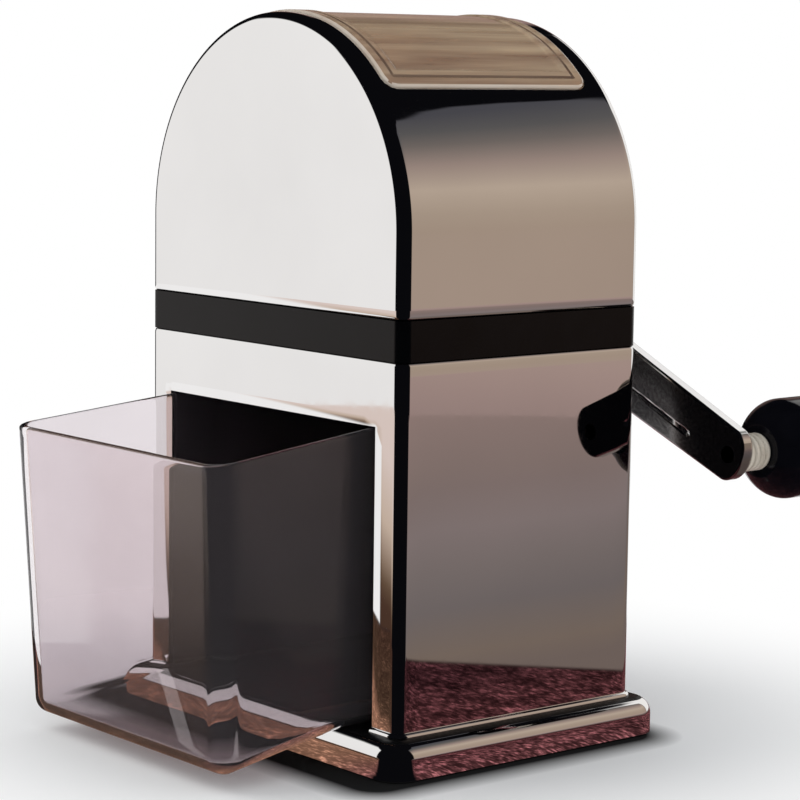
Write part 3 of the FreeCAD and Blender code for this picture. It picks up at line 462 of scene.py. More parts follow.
# %% [markdown]
# The lid is a curved panel of acrylic with a raised lip all round and a groove pressed into the
# lip. Its loops are rounded rectangles too, but laid on the arch: what is X on a flat sheet
# becomes distance along the curve, and height becomes distance from the arch's axis. Two lugs at
# the left edge carry the barrels for the hinge pin.

# %% Lid
LID_HALF = math.radians(49.0) * RADIUS
LID_FRONT, LID_BACK, LID_CORNER, LID_MIDDLE = -46.0, 43.0, 5.0, (0.0, -1.5)
LID_UNDER, LID_FACE, LID_TOP, LID_ROUND, UNDER_ROUND = 70.9, 72.2, 72.8, 0.9, 0.4
SLOPE_IN, SLOPE_OUT, GROOVE_IN, GROOVE_OUT, GROOVE_DEEP = 8.2, 7.0, 5.4, 3.6, 0.45
LIP_EDGE, GROOVE_EDGE = 1.3, 0.3
HINGE_TURN, LUG_TURN, HINGE_OUT, LUG_TOP, LUG_UNDER, BARREL = -52.5, -47.5, 75.0, 73.7, 72.4, 2.6
LUG_SPANS = ((-28.9, -18.9), (15.9, 25.9))


def on_arch(along, y, radius):
    """A flat sheet bent over the arch: distance along the curve, depth, and distance from the axis."""
    turn = along / RADIUS
    return np.stack([radius * np.sin(turn), y, ARCH_Z + radius * np.cos(turn)], -1)


def lid_panel():
    """Top from the middle up to the lip, across its groove, over its edge, and back underneath."""
    inset, rise = fillet(LID_ROUND, 8)
    small, lift = fillet(UNDER_ROUND, 3)
    ramp = np.linspace(0, 1, 7)
    across = np.linspace(GROOVE_IN, GROOVE_OUT, 13)
    dip = GROOVE_DEEP * np.sin(math.pi * (GROOVE_IN - across) / (GROOVE_IN - GROOVE_OUT)) ** 2
    section = [(SLOPE_IN, LID_FACE, k) for k in np.linspace(1, 0, 24)]
    section += [(SLOPE_IN + (SLOPE_OUT - SLOPE_IN) * s,
                 LID_FACE + (LID_TOP - LID_FACE) * s * s * (3 - 2 * s), 0) for s in ramp[1:]]
    section += [((SLOPE_OUT + GROOVE_IN) / 2, LID_TOP, 0)]
    section += [(i, LID_TOP - d, 0) for i, d in zip(across, dip)]
    section += [(GROOVE_OUT - hold, LID_TOP, 0) for hold in (0.8, 1.8)]
    section += [(i, LID_TOP - r, 0) for i, r in zip(inset, rise)]
    section += [(i, LID_UNDER + r, 0) for i, r in zip(small[::-1], lift[::-1])]
    section += [(UNDER_ROUND + 3 * s, LID_UNDER, 0) for s in ramp[1:]]
    section += [(UNDER_ROUND + 3, LID_UNDER, k) for k in np.linspace(0, 1, 24)[1:]]
    flat, radius = closed_section(
        lambda i: rounded_loop(LID_HALF, LID_FRONT, LID_BACK, LID_CORNER, 2.5, (), 10, i)[0],
        section, LID_MIDDLE)
    return (on_arch(flat[..., 0], flat[..., 1], radius[:, None]),
            grid_faces(*flat.shape[:2], close_columns=True))


def round_axis(turn, radius):
    """X and Z at an angle and a distance from the arch's axis."""
    return np.stack([radius * np.sin(turn), ARCH_Z + radius * np.cos(turn)], -1)


def lug(y0, y1):
    """A strap along the arch that ends in a barrel: its outline in the arch's plane, pulled along Y."""
    turn = np.radians(np.linspace(HINGE_TURN, LUG_TURN, 8))
    strap = np.concatenate([round_axis(turn, LUG_TOP), round_axis(turn, LUG_UNDER)[::-1]])
    ring = np.radians(np.linspace(0, 360, 33)[:-1])
    circle = np.stack([np.cos(ring), np.sin(ring)], -1) * BARREL
    barrel = round_axis(math.radians(HINGE_TURN), HINGE_OUT) + circle
    sheets = []
    for outline in (strap, barrel):
        inner = outline.mean(0)
        loops = [inner + (outline - inner) * s for s in (0, 0.9, 1, 1, 0.9, 0)]
        depth = [y0, y0, y0 + 0.3, y1 - 0.3, y1, y1]
        points = np.stack([np.stack([edge[:, 0], np.full(len(edge), d), edge[:, 1]], -1)
                           for edge, d in zip(loops, depth)])
        sheets.append((points, grid_faces(*points.shape[:2], close_columns=True)))
    return sheets


lid = piece("lid_panel", sum((lug(*span) for span in LUG_SPANS), [lid_panel()]), clear_lid, "lid",
            ["lid"])
x, y, z = face_centres(lid)
along = np.arctan2(x, z - ARCH_Z) * RADIUS
inset = np.minimum(LID_HALF - np.abs(along), np.minimum(y - LID_FRONT, LID_BACK - y))
panel = (along > -LID_HALF - 0.2) & (np.hypot(x, z - ARCH_Z) > LID_UNDER + 0.6)
# Painted sheen on the outer lip, painted shade in the groove inside it.
second_finish(lid, painted_lip_sheen, panel & (inset < LIP_EDGE))
second_finish(lid, painted_groove_shade, panel & (inset > GROOVE_OUT + GROOVE_EDGE)
              & (inset < GROOVE_IN - GROOVE_EDGE))

# %% [markdown]
# The tray is a tapered tub with a bend in its floor: the back part slides level on the base plate,
# the part in front of the base slants down. Its rim slants down as well. Floor and rim are both
# plain functions of depth, and a wall point sits at some share between them, drawn in by the
# taper that belongs to its height. Outside the casing the side walls spread a little. The inner
# skin is each wall slid straight in, so its corners keep the outer radius, as moulded tubs do.
# Clear walls would draw dim second outlines in the polish behind them, so the tray is left out
# of what the polish mirrors.

# %% Tray
TRAY_HALF, TRAY_FRONT, TRAY_BACK, TRAY_CORNER, TRAY_SPREAD = 57.5, -118.5, 42.0, 7.0, 0.065
TRAY_LOW, TRAY_RIM, TRAY_WALL, TRAY_FLOOR, TRAY_BED = 5.3, 114.4, 2.2, 2.4, 13.3
TRAY_BEND, BEND_SOFT, FLOOR_SLANT, RIM_SLANT = -62.0, 3.0, 8.0 / 50.0, 7.2 / 66.0
TRAY_ROUND, TRAY_INNER_ROUND, SIDE_TAPER, FRONT_TAPER, BACK_TAPER = 6.0, 3.8, 3.4, 5.2, 3.0


def tray_floor_z(y):
    """Level on the base, then a slant towards the front wall, joined by a soft bend."""
    past = TRAY_BEND - y
    return TRAY_BED - FLOOR_SLANT * (past + np.sqrt(past ** 2 + BEND_SOFT ** 2)) / 2


def tray_rim_z(y):
    """Level over the casing, then falling towards the front."""
    return TRAY_RIM - np.clip(-FACE_Y - y, 0, None) * RIM_SLANT


def tray_surface():
    """Out across the floor, up outside, over the round rim, down inside, and in across the floor."""
    low, low_lift = fillet(TRAY_ROUND, 9)
    inner, inner_lift = fillet(TRAY_INNER_ROUND, 7)
    half = np.radians(np.linspace(0, 180, 11))
    steps = [("floor", TRAY_ROUND, 0.0, k) for k in np.linspace(1, 0, 46)]
    steps += [("floor", i, r, 0) for i, r in zip(low[1:], low_lift[1:])]
    steps += [("share", 0.0, s, 0) for s in np.linspace(0.06, 1, 36)]
    steps += [("rim", TRAY_WALL / 2 * (1 - math.cos(t)), TRAY_WALL / 2 * math.sin(t), 0)
              for t in half[1:-1]]
    steps += [("share", TRAY_WALL, s, 0) for s in np.linspace(1, 0.08, 36)]
    steps += [("inside", i + TRAY_WALL, r, 0) for i, r in zip(inner[::-1], inner_lift[::-1])]
    steps += [("inside", TRAY_WALL + TRAY_INNER_ROUND, 0.0, k) for k in np.linspace(0, 1, 46)[1:]]
    unit, out = rounded_loop(TRAY_HALF, TRAY_FRONT, TRAY_BACK, TRAY_CORNER, 1.6, (), 16)
    along = (unit[:, 1] - TRAY_FRONT) / (TRAY_BACK - TRAY_FRONT)
    middle = np.array([0.0, (TRAY_FRONT + TRAY_BACK) / 2])
    straight = np.array([TRAY_HALF, (TRAY_BACK - TRAY_FRONT) / 2]) - TRAY_CORNER
    inward = np.clip((unit - middle) / straight, -1, 1)
    spread = 1 + TRAY_SPREAD * np.clip(-FACE_Y - unit[:, 1], 0, None) / TRAY_HALF
    flat_rows, height_rows = [], []
    for kind, inset, rise, k in steps:
        shift = out if kind == "floor" else inward
        height = np.full(len(unit), 60.0)
        for _ in range(4):
            lean = 1 - np.clip((height - TRAY_LOW) / (TRAY_RIM - TRAY_LOW), 0, 1)
            x = unit[:, 0] * (spread - SIDE_TAPER / TRAY_HALF * lean)
            y = unit[:, 1] + lean * (FRONT_TAPER - (FRONT_TAPER + BACK_TAPER) * along)
            flat = (np.stack([x, y], -1) - shift * inset) * (1 - k) + middle * k
            bottom, top = tray_floor_z(flat[:, 1]), tray_rim_z(flat[:, 1]) - TRAY_WALL / 2
            height = {"floor": bottom + rise, "inside": bottom + TRAY_FLOOR + rise, "rim": top + rise,
                      "share": bottom + (top - bottom) * rise}[kind]
        flat_rows.append(flat)
        height_rows.append(height)
    points = np.concatenate([np.stack(flat_rows), np.stack(height_rows)[..., None]], -1)
    return points, grid_faces(*points.shape[:2], close_columns=True)


tub = piece("tray_tub", [tray_surface()], clear_tray, "tray", ["tray"], sharp=60)
tub.visible_glossy = False

# %% [markdown]
# The crank arm is a flat bar that tapers from its hub to the knob, with rounded edges, a blunt
# end at the pin, and a long groove pressed into the face that looks at the casing. Every point
# of its outline belongs to a point on the bar's own middle line, so the faces fill in by sliding
# towards it. A row close to each round holds the flat strip between the rounds flat.

# %% Crank arm
ARM_ANGLE, ARM_LENGTH, SHAFT_Z = math.radians(23.2), 115.5, 147.5
ARM_INNER, ARM_OUTER, ARM_ROUND, HOLD = 63.3, 68.3, 0.9, 0.08
HUB_RADIUS, PIN_RADIUS, PIN_BLUNT = 12.0, 9.5, 0.72
SLOT_MIDDLE, SLOT_HALF, SLOT_DEEP, SLOT_SOFT, SLOT_MARK = 61.0, 34.0, 0.45, 0.5, 60.0
SLOT_SIDE, SLOT_TILT, SLOT_WIDE, SLOT_FLARE = -2.3, -0.021, 0.9, 0.0145
BOSS_START, BOSS_RADIUS, BOSS_IN = 58.3, 8.5, 0.3


def in_arm_frame(along, across, y):
    """From the arm's own directions to the crusher's, at the rest angle."""
    c, s = math.cos(ARM_ANGLE), math.sin(ARM_ANGLE)
    return np.stack([along * c + across * s, y + 0 * along, SHAFT_Z - along * s + across * c], -1)


def arm_surface():
    """Outline as middle-line station plus radius times direction; the section runs face, edge, face."""
    lean = math.asin((HUB_RADIUS - PIN_RADIUS) / ARM_LENGTH)
    straight = np.linspace(0, ARM_LENGTH, 180)
    hub = np.linspace(math.pi / 2 - lean, 3 * math.pi / 2 + lean, 31)
    pin = np.linspace(-math.pi / 2 + lean, math.pi / 2 - lean, 31)
    station = np.concatenate([0 * hub, straight[1:-1], 0 * pin + ARM_LENGTH, straight[::-1][1:-1]])
    turn = np.concatenate([hub, 0 * straight[1:-1] + pin[0], pin, 0 * straight[1:-1] + hub[0]])
    radius = HUB_RADIUS - (HUB_RADIUS - PIN_RADIUS) * station / ARM_LENGTH
    inset, rise = fillet(ARM_ROUND, 7)
    face, back = np.linspace(1, 0, 80), np.linspace(0, 1, 12)[1:]
    shrink = np.concatenate([face, 0 * inset[1:], (0, 0), 0 * inset, back])
    drawn = np.concatenate([0 * face + ARM_ROUND, inset[1:], (0, 0), inset[::-1], 0 * back + ARM_ROUND])
    edge = [ARM_INNER + ARM_ROUND + HOLD, ARM_OUTER - ARM_ROUND - HOLD]
    y = np.concatenate([0 * face + ARM_INNER, ARM_INNER + rise[1:], edge, ARM_OUTER - rise[::-1],
                        0 * back + ARM_OUTER])
    reach = (radius[None] - drawn[:, None]) * (1 - shrink[:, None])
    blunt = np.where((station > ARM_LENGTH - 0.01) & (np.cos(turn) > 0), PIN_BLUNT, 1.0)
    along = station[None] + reach * (np.cos(turn) * blunt)[None]
    across = reach * np.sin(turn)[None]
    depth = slot_depth(along, across) * (np.arange(len(y)) < len(face))[:, None]
    points = in_arm_frame(along, across, np.broadcast_to(y[:, None], along.shape) + depth)
    return points, grid_faces(*along.shape, close_columns=True)


def slot_depth(along, across):
    """The groove is a bar with round ends that tilts and widens outwards; its sides ease in."""
    side = SLOT_SIDE + SLOT_TILT * (along - SLOT_MARK)
    half_width = SLOT_WIDE + SLOT_FLARE * (along - SLOT_MARK)
    past_end = np.maximum(np.abs(along - SLOT_MIDDLE) - SLOT_HALF, 0)
    share = np.clip((half_width - np.hypot(across - side, past_end)) / SLOT_SOFT, 0, 1)
    return SLOT_DEEP * share * share * (3 - 2 * share)


def turned(profile, along=ARM_LENGTH, steps=72):
    """A profile of (radius, Y) spun about the axis through that station of the arm."""
    radius, y = np.array(profile).T
    turn = np.radians(np.linspace(0, 360, steps + 1)[:-1])
    a = along + radius[:, None] * np.cos(turn)[None]
    c = radius[:, None] * np.sin(turn)[None]
    points = in_arm_frame(a, c, np.broadcast_to(y[:, None], a.shape))
    return points, grid_faces(len(y), steps, close_columns=True)


boss = turned([(0, BOSS_START), (BOSS_RADIUS - 0.6, BOSS_START), (BOSS_RADIUS - 0.2, BOSS_START + 0.15),
               (BOSS_RADIUS, BOSS_START + 0.6), (BOSS_RADIUS, ARM_INNER + BOSS_IN),
               (0, ARM_INNER + BOSS_IN)], 0.0)
arm = piece("crank_arm_bar", [arm_surface(), boss], chrome_arm, "crank", ["crank_arm"])
x, y, z = face_centres(arm)
along = x * math.cos(ARM_ANGLE) - (z - SHAFT_Z) * math.sin(ARM_ANGLE)
across = x * math.sin(ARM_ANGLE) + (z - SHAFT_Z) * math.cos(ARM_ANGLE)
# Painted shade: the flat inner face and the pin end take the darker chrome.
flat_face = (y > ARM_INNER - 0.02) & (y < ARM_INNER + 0.03)
pin_end = (along > ARM_LENGTH) & (across < 7) & (y < ARM_OUTER - 1)
second_finish(arm, painted_shade_chrome, flat_face | pin_end)

# %% [markdown]
# The collar and the knob are turned parts, so each is one profile spun about the knob's pin. The
# collar has four soft ribs. The knob flares from its neck, runs straight for the palm, draws in
# again, and ends in a recess for the little cap.

# %% Collar and knob
COLLAR_BORE, COLLAR_END, RIB_FOOT, RIB_HEIGHT, RIB_WIDTH, RIB_COUNT = 3.05, 78.3, 5.75, 0.75, 2.5, 4
KNOB_RADIUS, NECK_RADIUS, END_DRAW, RECESS_RADIUS = 17.5, 9.5, 5.0, 7.0
KNOB_START, GRIP_START, GRIP_END, KNOB_END, RECESS_FLOOR = 78.6, 90.6, 101.6, 112.6, 106.6
GRIP_ROWS, END_BULGE = (93.0, 97.0), 0.96

ribs = [(RIB_FOOT + RIB_HEIGHT * math.sqrt(max(1 - (2 * t - 1) ** 2, 0)),
         ARM_OUTER + RIB_WIDTH * (n + t)) for n in range(RIB_COUNT) for t in np.linspace(0, 1, 11)]
collar = [(COLLAR_BORE, ARM_OUTER)] + ribs + [(COLLAR_BORE, COLLAR_END), (COLLAR_BORE, ARM_OUTER)]
piece("collar_ferrule", [turned(collar)], collar_alloy, "crank", ["knob_collar"],
      sharp=50)


def knob_profile():
    """Neck, flare and shoulder as a smooth rise, straight grip, drawn-in end, and the recess."""
    t = np.linspace(0, 1, 15)
    flare = NECK_RADIUS + (KNOB_RADIUS - NECK_RADIUS) * np.sin(t * math.pi / 2) ** 0.9
    draw = (1 - np.sqrt(1 - (END_BULGE * t) ** 2)) / (1 - math.sqrt(1 - END_BULGE ** 2))
    shoulder = KNOB_START + 0.3
    rise = list(zip(flare, shoulder + (GRIP_START - shoulder) * t))
    grip = [(KNOB_RADIUS, station) for station in (*GRIP_ROWS, GRIP_END)]
    end = list(zip(KNOB_RADIUS - END_DRAW * draw[1:], GRIP_END + (KNOB_END - 0.6 - GRIP_END) * t[1:]))
    brim = KNOB_RADIUS - END_DRAW
    lip = [(brim - 0.4, KNOB_END - 0.25), (brim - 0.9, KNOB_END), (RECESS_RADIUS + 0.3, KNOB_END),
           (RECESS_RADIUS, KNOB_END - 0.3), (RECESS_RADIUS, RECESS_FLOOR), (0, RECESS_FLOOR)]
    foot = [(0, KNOB_START), (NECK_RADIUS - 0.6, KNOB_START), (NECK_RADIUS - 0.2, KNOB_START + 0.1)]
    return foot + rise + grip + end + lip


piece("knob_grip", [turned(knob_profile(), steps=96)], knob_black, "knob", ["knob"],
      sharp=40)

# %% [markdown]
# The remaining pieces keep the shape that they have in the frame. They only need their finish,
# and a finish is assigned by the kind of part: screws, rods and nuts in zinc, blades in tool
# steel, bushes in bronze, liners in moulded plastic.

# %% Finishes for the frame's own pieces
by_finish = (
    (rubber, ["base_pad"]),
    (band_black, ["band_ring"]),
    (liner_dark, ["tray_bay_liner"]),
    (hopper_tan, ["hopper_liner"]),
    (knob_black, ["knob_cap"]),
    (chrome_solid, ["hinge_leaf", "hinge_pin", "hinge_rivets", "shaft_escutcheon", "crank_washer",
                    "crank_cap_nut"]),
    (blade_steel, ["comb_left", "comb_right", "cage_front_plate", "cage_back_plate", "rotor_shaft"]),
    (blade_steel, [f"rotor_blade_{n}" for n in range(1, 6)]),
    (blade_steel, [f"rotor_spacer_{n}" for n in range(1, 7)]),
    (bolt_zinc, ["tie_screws", "cage_tie_rods", "cage_nuts", "cage_screws", "knob_stud"]),
    (bush_bronze, ["front_bush", "back_bush", "thrust_washers"]),
)
for made_finish, node_names in by_finish:
    for node_name in node_names:
        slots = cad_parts[node_name].data.materials
        slots.clear()
        slots.append(made_finish)
print("dressed:", sum(len(node_names) for _, node_names in by_finish), "frame pieces")

# %% [markdown]
# The camera stands in front and to the right, a little above the band, as far away as a person
# at a table. Its aim is given by three directions worked out from the crusher's own straight
# edges, so the view has the right perspective without any shift.

# %% Camera
lens = bpy.data.cameras.new("studio_lens")
lens.sensor_width = 36.0
lens.lens = 120.94
lens.clip_start = 0.05
viewer = bpy.data.objects.new("studio_camera", lens)
bpy.context.scene.collection.objects.link(viewer)
stand = (0.73803, -0.59817, 0.23298)
right, up = (0.63182, 0.77501, 0.01294), (-0.10439, 0.06854, 0.99217)
ahead = (-0.76805, 0.62823, -0.12421)
viewer.matrix_world = Matrix.Translation(stand) @ Matrix(
    [(right[k], up[k], -ahead[k]) for k in range(3)]).to_4x4()
bpy.context.scene.camera = viewer
print("camera at", tuple(round(v, 3) for v in viewer.matrix_world.translation))

# %% [markdown]
# Polished metal is only as good as what it mirrors. A studio puts cards round it: white ones
# that light a face, grey and black ones that draw its edges. Here the cards are one surface,
# a floor disc that turns up into a dome, and only mirrored rays can see it, so it lights and
# shadows nothing. On the dome its tone is a function of bearing and elevation. On the floor it
# depends on the distance and the bearing from the casing's front right edge. A tone is laid over
# the last one with a soft border, so what comes first lies lowest.

# %% Cards for the polish to mirror
def smooth(low, high, value):
    """0 below low, 1 above high, and an even ease between them."""
    t = np.clip((value - low) / (high - low), 0, 1)
    return t * t * (3 - 2 * t)


def window(value, low, high, soft):
    """1 between low and high, with soft borders."""
    return smooth(low - soft, low + soft, value) * (1 - smooth(high - soft, high + soft, value))


def mixed(tone, share, colour):
    """A share of the colour laid over the tone."""
    return tone * (1 - share[..., None]) + np.asarray(colour) * share[..., None]


def ramp_tone(value, stops):
    """Colours between stops of (position, red, green, blue), straight from one to the next."""
    table = np.array(stops)
    return np.stack([np.interp(value, table[:, 0], table[:, c]) for c in (1, 2, 3)], -1)


BLACK = (.003, .003, .004)
FRONT_CARD, SIDE_CARD = (-166, -122), (26, 70)
EDGE_CARD, BACK_CARD, BACK_STRIP = (72, 118), (120, 150), (103, 122)


def dome_tone(bearing, height):
    """Tone of the dome at a bearing from +X towards +Y and an elevation, both in degrees."""
    tone = np.broadcast_to(np.array(BLACK), bearing.shape + (3,))
    white = ramp_tone(height, [(-9, .90, .885, .88), (30, .92, .91, .90), (34, *BLACK)])
    tone = mixed(tone, window(bearing, *FRONT_CARD, 2), white)
    taupe = ramp_tone(height, [(-9, .34, .245, .225), (-7.2, .395, .285, .255), (-6, .40, .305, .25),
                               (0, .395, .305, .24), (7, .42, .33, .26), (17, .50, .40, .32),
                               (27, .34, .26, .225), (35, .17, .145, .133), (40, .105, .10, .10),
                               (46, .070, .069, .080)])
    top = np.interp(bearing, [50, 52.4, 56.7, 60.7, 64.7, 68.6, 72],
                    [44.6, 45.3, 47.2, 47.8, 47.2, 45.6, 45.1])
    taupe = mixed(taupe, smooth(-.3, .3, height - top), BLACK)
    tone = mixed(tone, window(bearing, *SIDE_CARD, 2), taupe)
    tone = mixed(tone, window(bearing, *EDGE_CARD, 2) * (1 - smooth(37, 40, height)), (.92, .90, .88))
    tone = mixed(tone, window(bearing, *BACK_CARD, 3) * window(height, 4, 27, 3), (.30, .20, .18))
    return mixed(tone, window(bearing, *BACK_STRIP, 1) * window(height, 31, 36.5, 1), (.95, .94, .93))


CORNER = np.array([RADIUS, -FACE_Y]) * MM
FLOOR_FRONT, FLOOR_SIDE, FLOOR_DARK, FLOOR_BACK = (-147, -110), (20, 100), (-119, 24), (106, 150)
CLOTH_EDGE, CLOTH_REACH, EDGE_MIRROR = (0.67, 0.74, 0.1785), 0.225, (-112, 20)


def floor_tone(x, y):
    """Tone of the floor part: bearings are taken from the casing's front right corner."""
    bearing = np.degrees(np.arctan2(y - CORNER[1], x - CORNER[0]))
    ahead, beside = CORNER[1] - y, x - CORNER[0]
    tone = np.broadcast_to(np.array((.96, .95, .95)), bearing.shape + (3,))
    front = ramp_tone(ahead, [(.05, .055, .028, .019), (.18, .07, .036, .024), (.21, .13, .08, .05),
                              (.24, .27, .19, .14), (.31, .60, .47, .38), (.46, .76, .63, .58)])
    tone = mixed(tone, window(bearing, *FLOOR_FRONT, 1.2), front)
    taupe = ramp_tone(beside, [(.10, .17, .13, .115), (.13, .19, .145, .12), (.20, .167, .141, .138),
                               (.267, .196, .162, .156), (.351, .233, .186, .181),
                               (.452, .229, .174, .163), (.50, .24, .18, .165), (.75, .30, .215, .195)])
    tone = mixed(tone, window(bearing, *FLOOR_SIDE, 4), taupe)
    tone = mixed(tone, window(bearing, *FLOOR_DARK, 2), BLACK)
    from_middle = np.degrees(np.arctan2(y, x))
    tone = mixed(tone, window(from_middle, *FLOOR_BACK, 4) * smooth(.5, .6, np.hypot(x, y)), BLACK)
    tone = mixed(tone, near_cloth(x, y, .003), (.035, .020, .019))
    return mixed(tone, near_cloth(x, y, 0.0), near_tone(x, y))


def near_cloth(x, y, further):
    """1 on the near floor up to a slanting edge beside the crusher and a circle all round it."""
    east, north, offset = CLOTH_EDGE
    edge = np.maximum(east * x + north * y - offset, np.hypot(x, y) - CLOTH_REACH)
    return (1 - smooth(-.003, .003, edge - further)) * (1 - dark_corner(x, y))


def dark_corner(x, y):
    """The sector that the casing's front right edge mirrors, down to its foot."""
    bearing = np.degrees(np.arctan2(y - CORNER[1], x - CORNER[0]))
    return window(bearing, *EDGE_MIRROR, 3)


def near_tone(x, y):
    """Dark red beside the crusher, lighter close to it, and warm brown in front of it."""
    red = ramp_tone(x - CORNER[0], [(0, .15, .054, .058), (.03, .11, .037, .041),
                                    (.05, .085, .028, .031), (.10, .045, .015, .018)])
    ahead = CORNER[1] - y
    brown = ramp_tone(ahead, [(.035, .31, .155, .10), (.055, .07, .038, .024), (.14, .06, .03, .02)])
    return mixed(red, smooth(-.01, .012, ahead) * (1 - smooth(.03, .08, x)), brown)


def speckle(x, y):
    """How far the near floor's tone is broken up: fully beside the crusher, half in front of it."""
    return near_cloth(x, y, 0.0) * (1 - 0.5 * smooth(.04, .07, -y))


def card_dome(radius=0.95, centre_z=0.15, lift=0.0006):
    """Floor disc out to the dome's foot, then the dome up to its top; tones go with the points."""
    bearing = np.linspace(-180, 180, 1081)
    foot = math.degrees(math.asin(-centre_z / radius))
    reach = stations([0.01, 0.06, 0.26, radius * math.cos(math.radians(foot))], [0.01, 0.0015, 0.012])
    height = stations([foot, 30, 50, 90], [1.0, 0.25, 1.0])
    B, R = np.meshgrid(bearing, reach, indexing="ij")
    floor = np.stack([R * np.cos(np.radians(B)), R * np.sin(np.radians(B)), 0 * R + lift], -1)
    B2, H = np.meshgrid(bearing, height, indexing="ij")
    out = radius * np.cos(np.radians(H))
    dome = np.stack([out * np.cos(np.radians(B2)), out * np.sin(np.radians(B2)),
                     centre_z + radius * np.sin(np.radians(H)) + lift], -1)
    broken = np.concatenate([speckle(floor[..., 0], floor[..., 1]), 0 * H], 1)
    painted = np.concatenate([floor_tone(floor[..., 0], floor[..., 1]), dome_tone(B2, H)], 1)
    return np.concatenate([floor, dome], 1), painted, broken


dome_points, dome_tones, broken_up = card_dome()
cards = mesh_object("reflection_cards", dome_points, grid_faces(*dome_points.shape[:2]))
cards.data.shade_smooth()
tones = cards.data.color_attributes.new("tone", "FLOAT_COLOR", "POINT")
four_channels = np.concatenate([dome_tones, broken_up[..., None]], -1).astype(np.float32)
tones.data.foreach_set("color", four_channels.ravel())
cards.visible_camera = cards.visible_diffuse = False
cards.visible_shadow = cards.visible_volume_scatter = False
print("cards:", dome_points.shape[0] * dome_points.shape[1], "points")

# %% [markdown]
# The near floor is like a woven cloth, so its tone is broken up by flecks. A fine noise, drawn
# out along the line of sight, gives the flecks, and a broad one makes patches of them. How far
# they count is kept beside the tone, in the attribute's fourth channel.
#
# A mirrored ray may pass through the clear tray before it gets to a card, and should still find
# it. A ray that has not been mirrored yet must not, or the cards would be seen through the
# tray. The number of mirror bounces so far tells the two apart.

# %% The cards' paint
def bare_paint(name):
    """A material with no nodes yet, whose glow is no lamp, and the tools for its nodes."""
    paint = bpy.data.materials.new(name)
    paint.use_nodes = True
    paint.cycles.emission_sampling = "NONE"
    paint.node_tree.nodes.clear()
    return paint, *node_tools(paint.node_tree)


card_paint, add, join = bare_paint("card_paint")
tone = add("VertexColor", layer_name="tone")
spot = add("TexCoord")
along_view = add("Mapping", Rotation=(0, 0, math.radians(-39.3)), Scale=(0.42, 1, 1))
grain = add("TexNoise", Scale=760, Detail=3)
patches = add("TexNoise", Scale=60, Detail=2)
fleck = add("MapRange", From_Min=0.36, From_Max=0.74)
fleck_curve = add("Math", operation="POWER", input_1=2.4)
fleck_range = add("MapRange", To_Min=0.35, To_Max=4.6)
patch_range = add("MapRange", From_Min=0.35, From_Max=0.65, To_Min=0.6, To_Max=1.45)
broken_tone = add("Math", operation="MULTIPLY")
strength = add("Mix", A=1.0)
glow = add("Emission")
bounces = add("LightPath")
mirrored = add("Math", operation="GREATER_THAN", input_1=0.5)
unseen = add("BsdfTransparent")
shown_card = add("MixShader")
card_out = add("OutputMaterial")
for link in ((spot, "Object", along_view, "Vector"), (along_view, "Vector", grain, "Vector"),
             (spot, "Object", patches, "Vector"), (grain, "Fac", fleck, "Value"),
             (fleck, "Result", fleck_curve, 0), (fleck_curve, "Value", fleck_range, "Value"),
             (patches, "Fac", patch_range, "Value"), (fleck_range, "Result", broken_tone, 0),
             (patch_range, "Result", broken_tone, 1), (tone, "Alpha", strength, "Factor"),
             (broken_tone, "Value", strength, "B"), (strength, "Result", glow, "Strength"),
             (tone, "Color", glow, "Color"), (bounces, "Glossy Depth", mirrored, 0),
             (mirrored, "Value", shown_card, "Fac"), (unseen, "BSDF", shown_card, 1),
             (glow, "Emission", shown_card, 2), (shown_card, "Shader", card_out, "Surface")):
    join(*link)
cards.data.materials.append(card_paint)
print("card paint:", len(card_paint.node_tree.nodes), "nodes")

# %% [markdown]
# The floor is pale and plain. Near the crusher it is a matt surface that takes its soft shadow,
# and further out it fades into the white of the background. Right under the base a painted
# shadow darkens the floor's colour, both its matt and its glowing part. That painted dark seam
# follows the base's outline: fold the plane into one quarter, go beyond a smaller rectangle,
# and the distance from it is the same all round.

# %% Floor
FLOOR_RINGS, FLOOR_SIDES = np.array([0.0, 0.2, 0.5, 1.0, 2.0, 4.0]), 128
ring = np.radians(np.linspace(0, 360, FLOOR_SIDES + 1)[:-1])
floor_points = np.stack([FLOOR_RINGS[:, None] * np.cos(ring), FLOOR_RINGS[:, None] * np.sin(ring),
                         0 * FLOOR_RINGS[:, None] * ring], -1)
floor_faces = grid_faces(len(FLOOR_RINGS), FLOOR_SIDES, close_columns=True)[:, ::-1]
floor_object = mesh_object("pale_floor", floor_points, floor_faces)
pale, add, join = bare_paint("pale_floor")
where = add("TexCoord")
length = add("VectorMath", operation="LENGTH")
fade = add("MapRange", interpolation_type="SMOOTHSTEP", From_Min=0.09, From_Max=0.25)
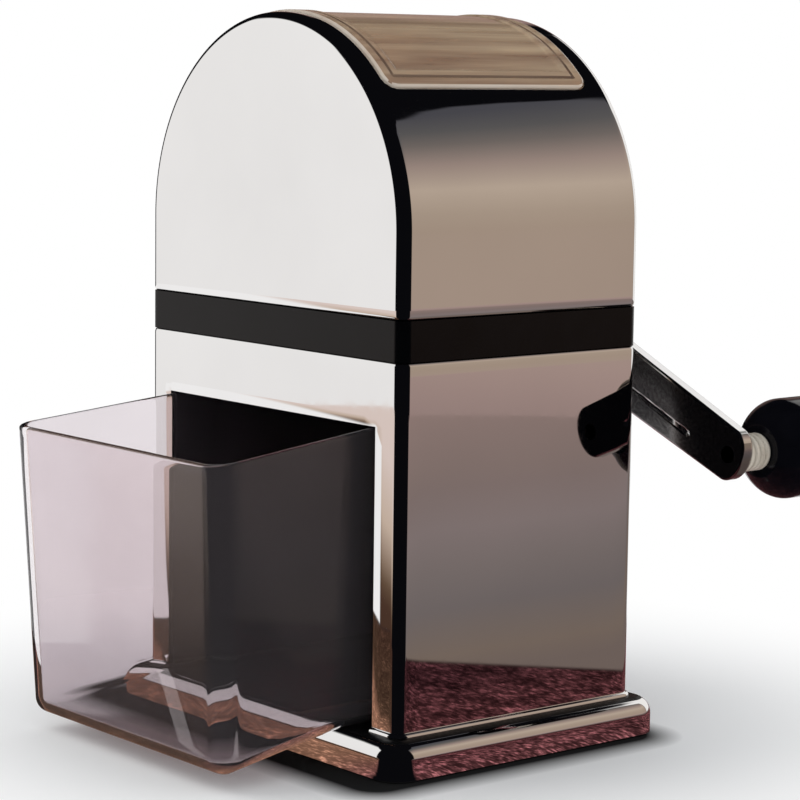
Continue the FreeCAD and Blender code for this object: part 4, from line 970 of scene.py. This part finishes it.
# Painted shadow: near the base's outline the floor's colour, matt and glowing, drops towards black.
moved = add("VectorMath", operation="ADD", input_1=(0, 0.008, 0))
folded = add("VectorMath", operation="ABSOLUTE")
beyond = add("VectorMath", operation="SUBTRACT", input_1=(0.074, 0.055, 0))
clipped = add("VectorMath", operation="MAXIMUM", input_1=(0, 0, 0))
away = add("VectorMath", operation="LENGTH")
close = add("MapRange", From_Min=0.009, From_Max=0.022, To_Min=0.02)
dull = add("Math", operation="MULTIPLY", input_1=0.9)
matt = add("BsdfDiffuse")
bright = add("Emission")
both = add("MixShader")
floor_out = add("OutputMaterial")
for link in ((where, "Object", moved, 0), (moved, "Vector", folded, 0), (folded, "Vector", beyond, 0),
             (beyond, "Vector", clipped, 0), (clipped, "Vector", away, 0),
             (away, "Value", close, "Value"), (close, "Result", dull, 0),
             (dull, "Value", matt, "Color"), (close, "Result", bright, "Color"),
             (where, "Object", length, 0), (length, "Value", fade, "Value"),
             (fade, "Result", both, "Fac"), (matt, "BSDF", both, 1),
             (bright, "Emission", both, 2), (both, "Shader", floor_out, "Surface")):
    join(*link)
floor_object.data.materials.append(pale)
print("floor:", len(floor_faces), "faces")

# %% [markdown]
# The world is a quiet, even light, and seen directly, in glass or in polish it is white. One
# large lamp from the upper left gives the forms their direction.

# %% World and lamp
world = bpy.data.worlds.new("soft_studio")
bpy.context.scene.world = world
world.use_nodes = True
world.node_tree.nodes.clear()
add, join = node_tools(world.node_tree)
path = add("LightPath")
seen = add("Math", operation="MAXIMUM")
shown = add("Math", operation="MAXIMUM")
even = add("Background", Color=(0.96, 0.98, 1.0, 1), Strength=0.85)
plain = add("Background", Color=(1, 1, 1, 1))
choice = add("MixShader")
world_out = add("OutputWorld")
for link in ((path, "Is Camera Ray", seen, 0), (path, "Is Glossy Ray", seen, 1),
             (seen, "Value", shown, 0), (path, "Is Transmission Ray", shown, 1),
             (shown, "Value", choice, "Fac"), (even, "Background", choice, 1),
             (plain, "Background", choice, 2), (choice, "Shader", world_out, "Surface")):
    join(*link)


def soft_lamp(name, place, aim, size, watts, colour):
    """A square lamp at a place that faces a point; polish sees the cards instead of it."""
    data = bpy.data.lights.new(name, "AREA")
    data.size = size
    data.energy = watts
    data.color = colour
    lamp = bpy.data.objects.new(name, data)
    bpy.context.scene.collection.objects.link(lamp)
    lamp.location = place
    lamp.rotation_euler = (Vector(aim) - Vector(place)).to_track_quat("-Z", "Y").to_euler()
    lamp.visible_glossy = False


soft_lamp("key_lamp", place=(-0.9, -1.1, 1.5), aim=(0, 0, 0.1), size=1.2, watts=9,
          colour=(1.0, 0.98, 0.95))
bpy.context.scene.view_settings.view_transform = "Standard"
print("lamp is set")
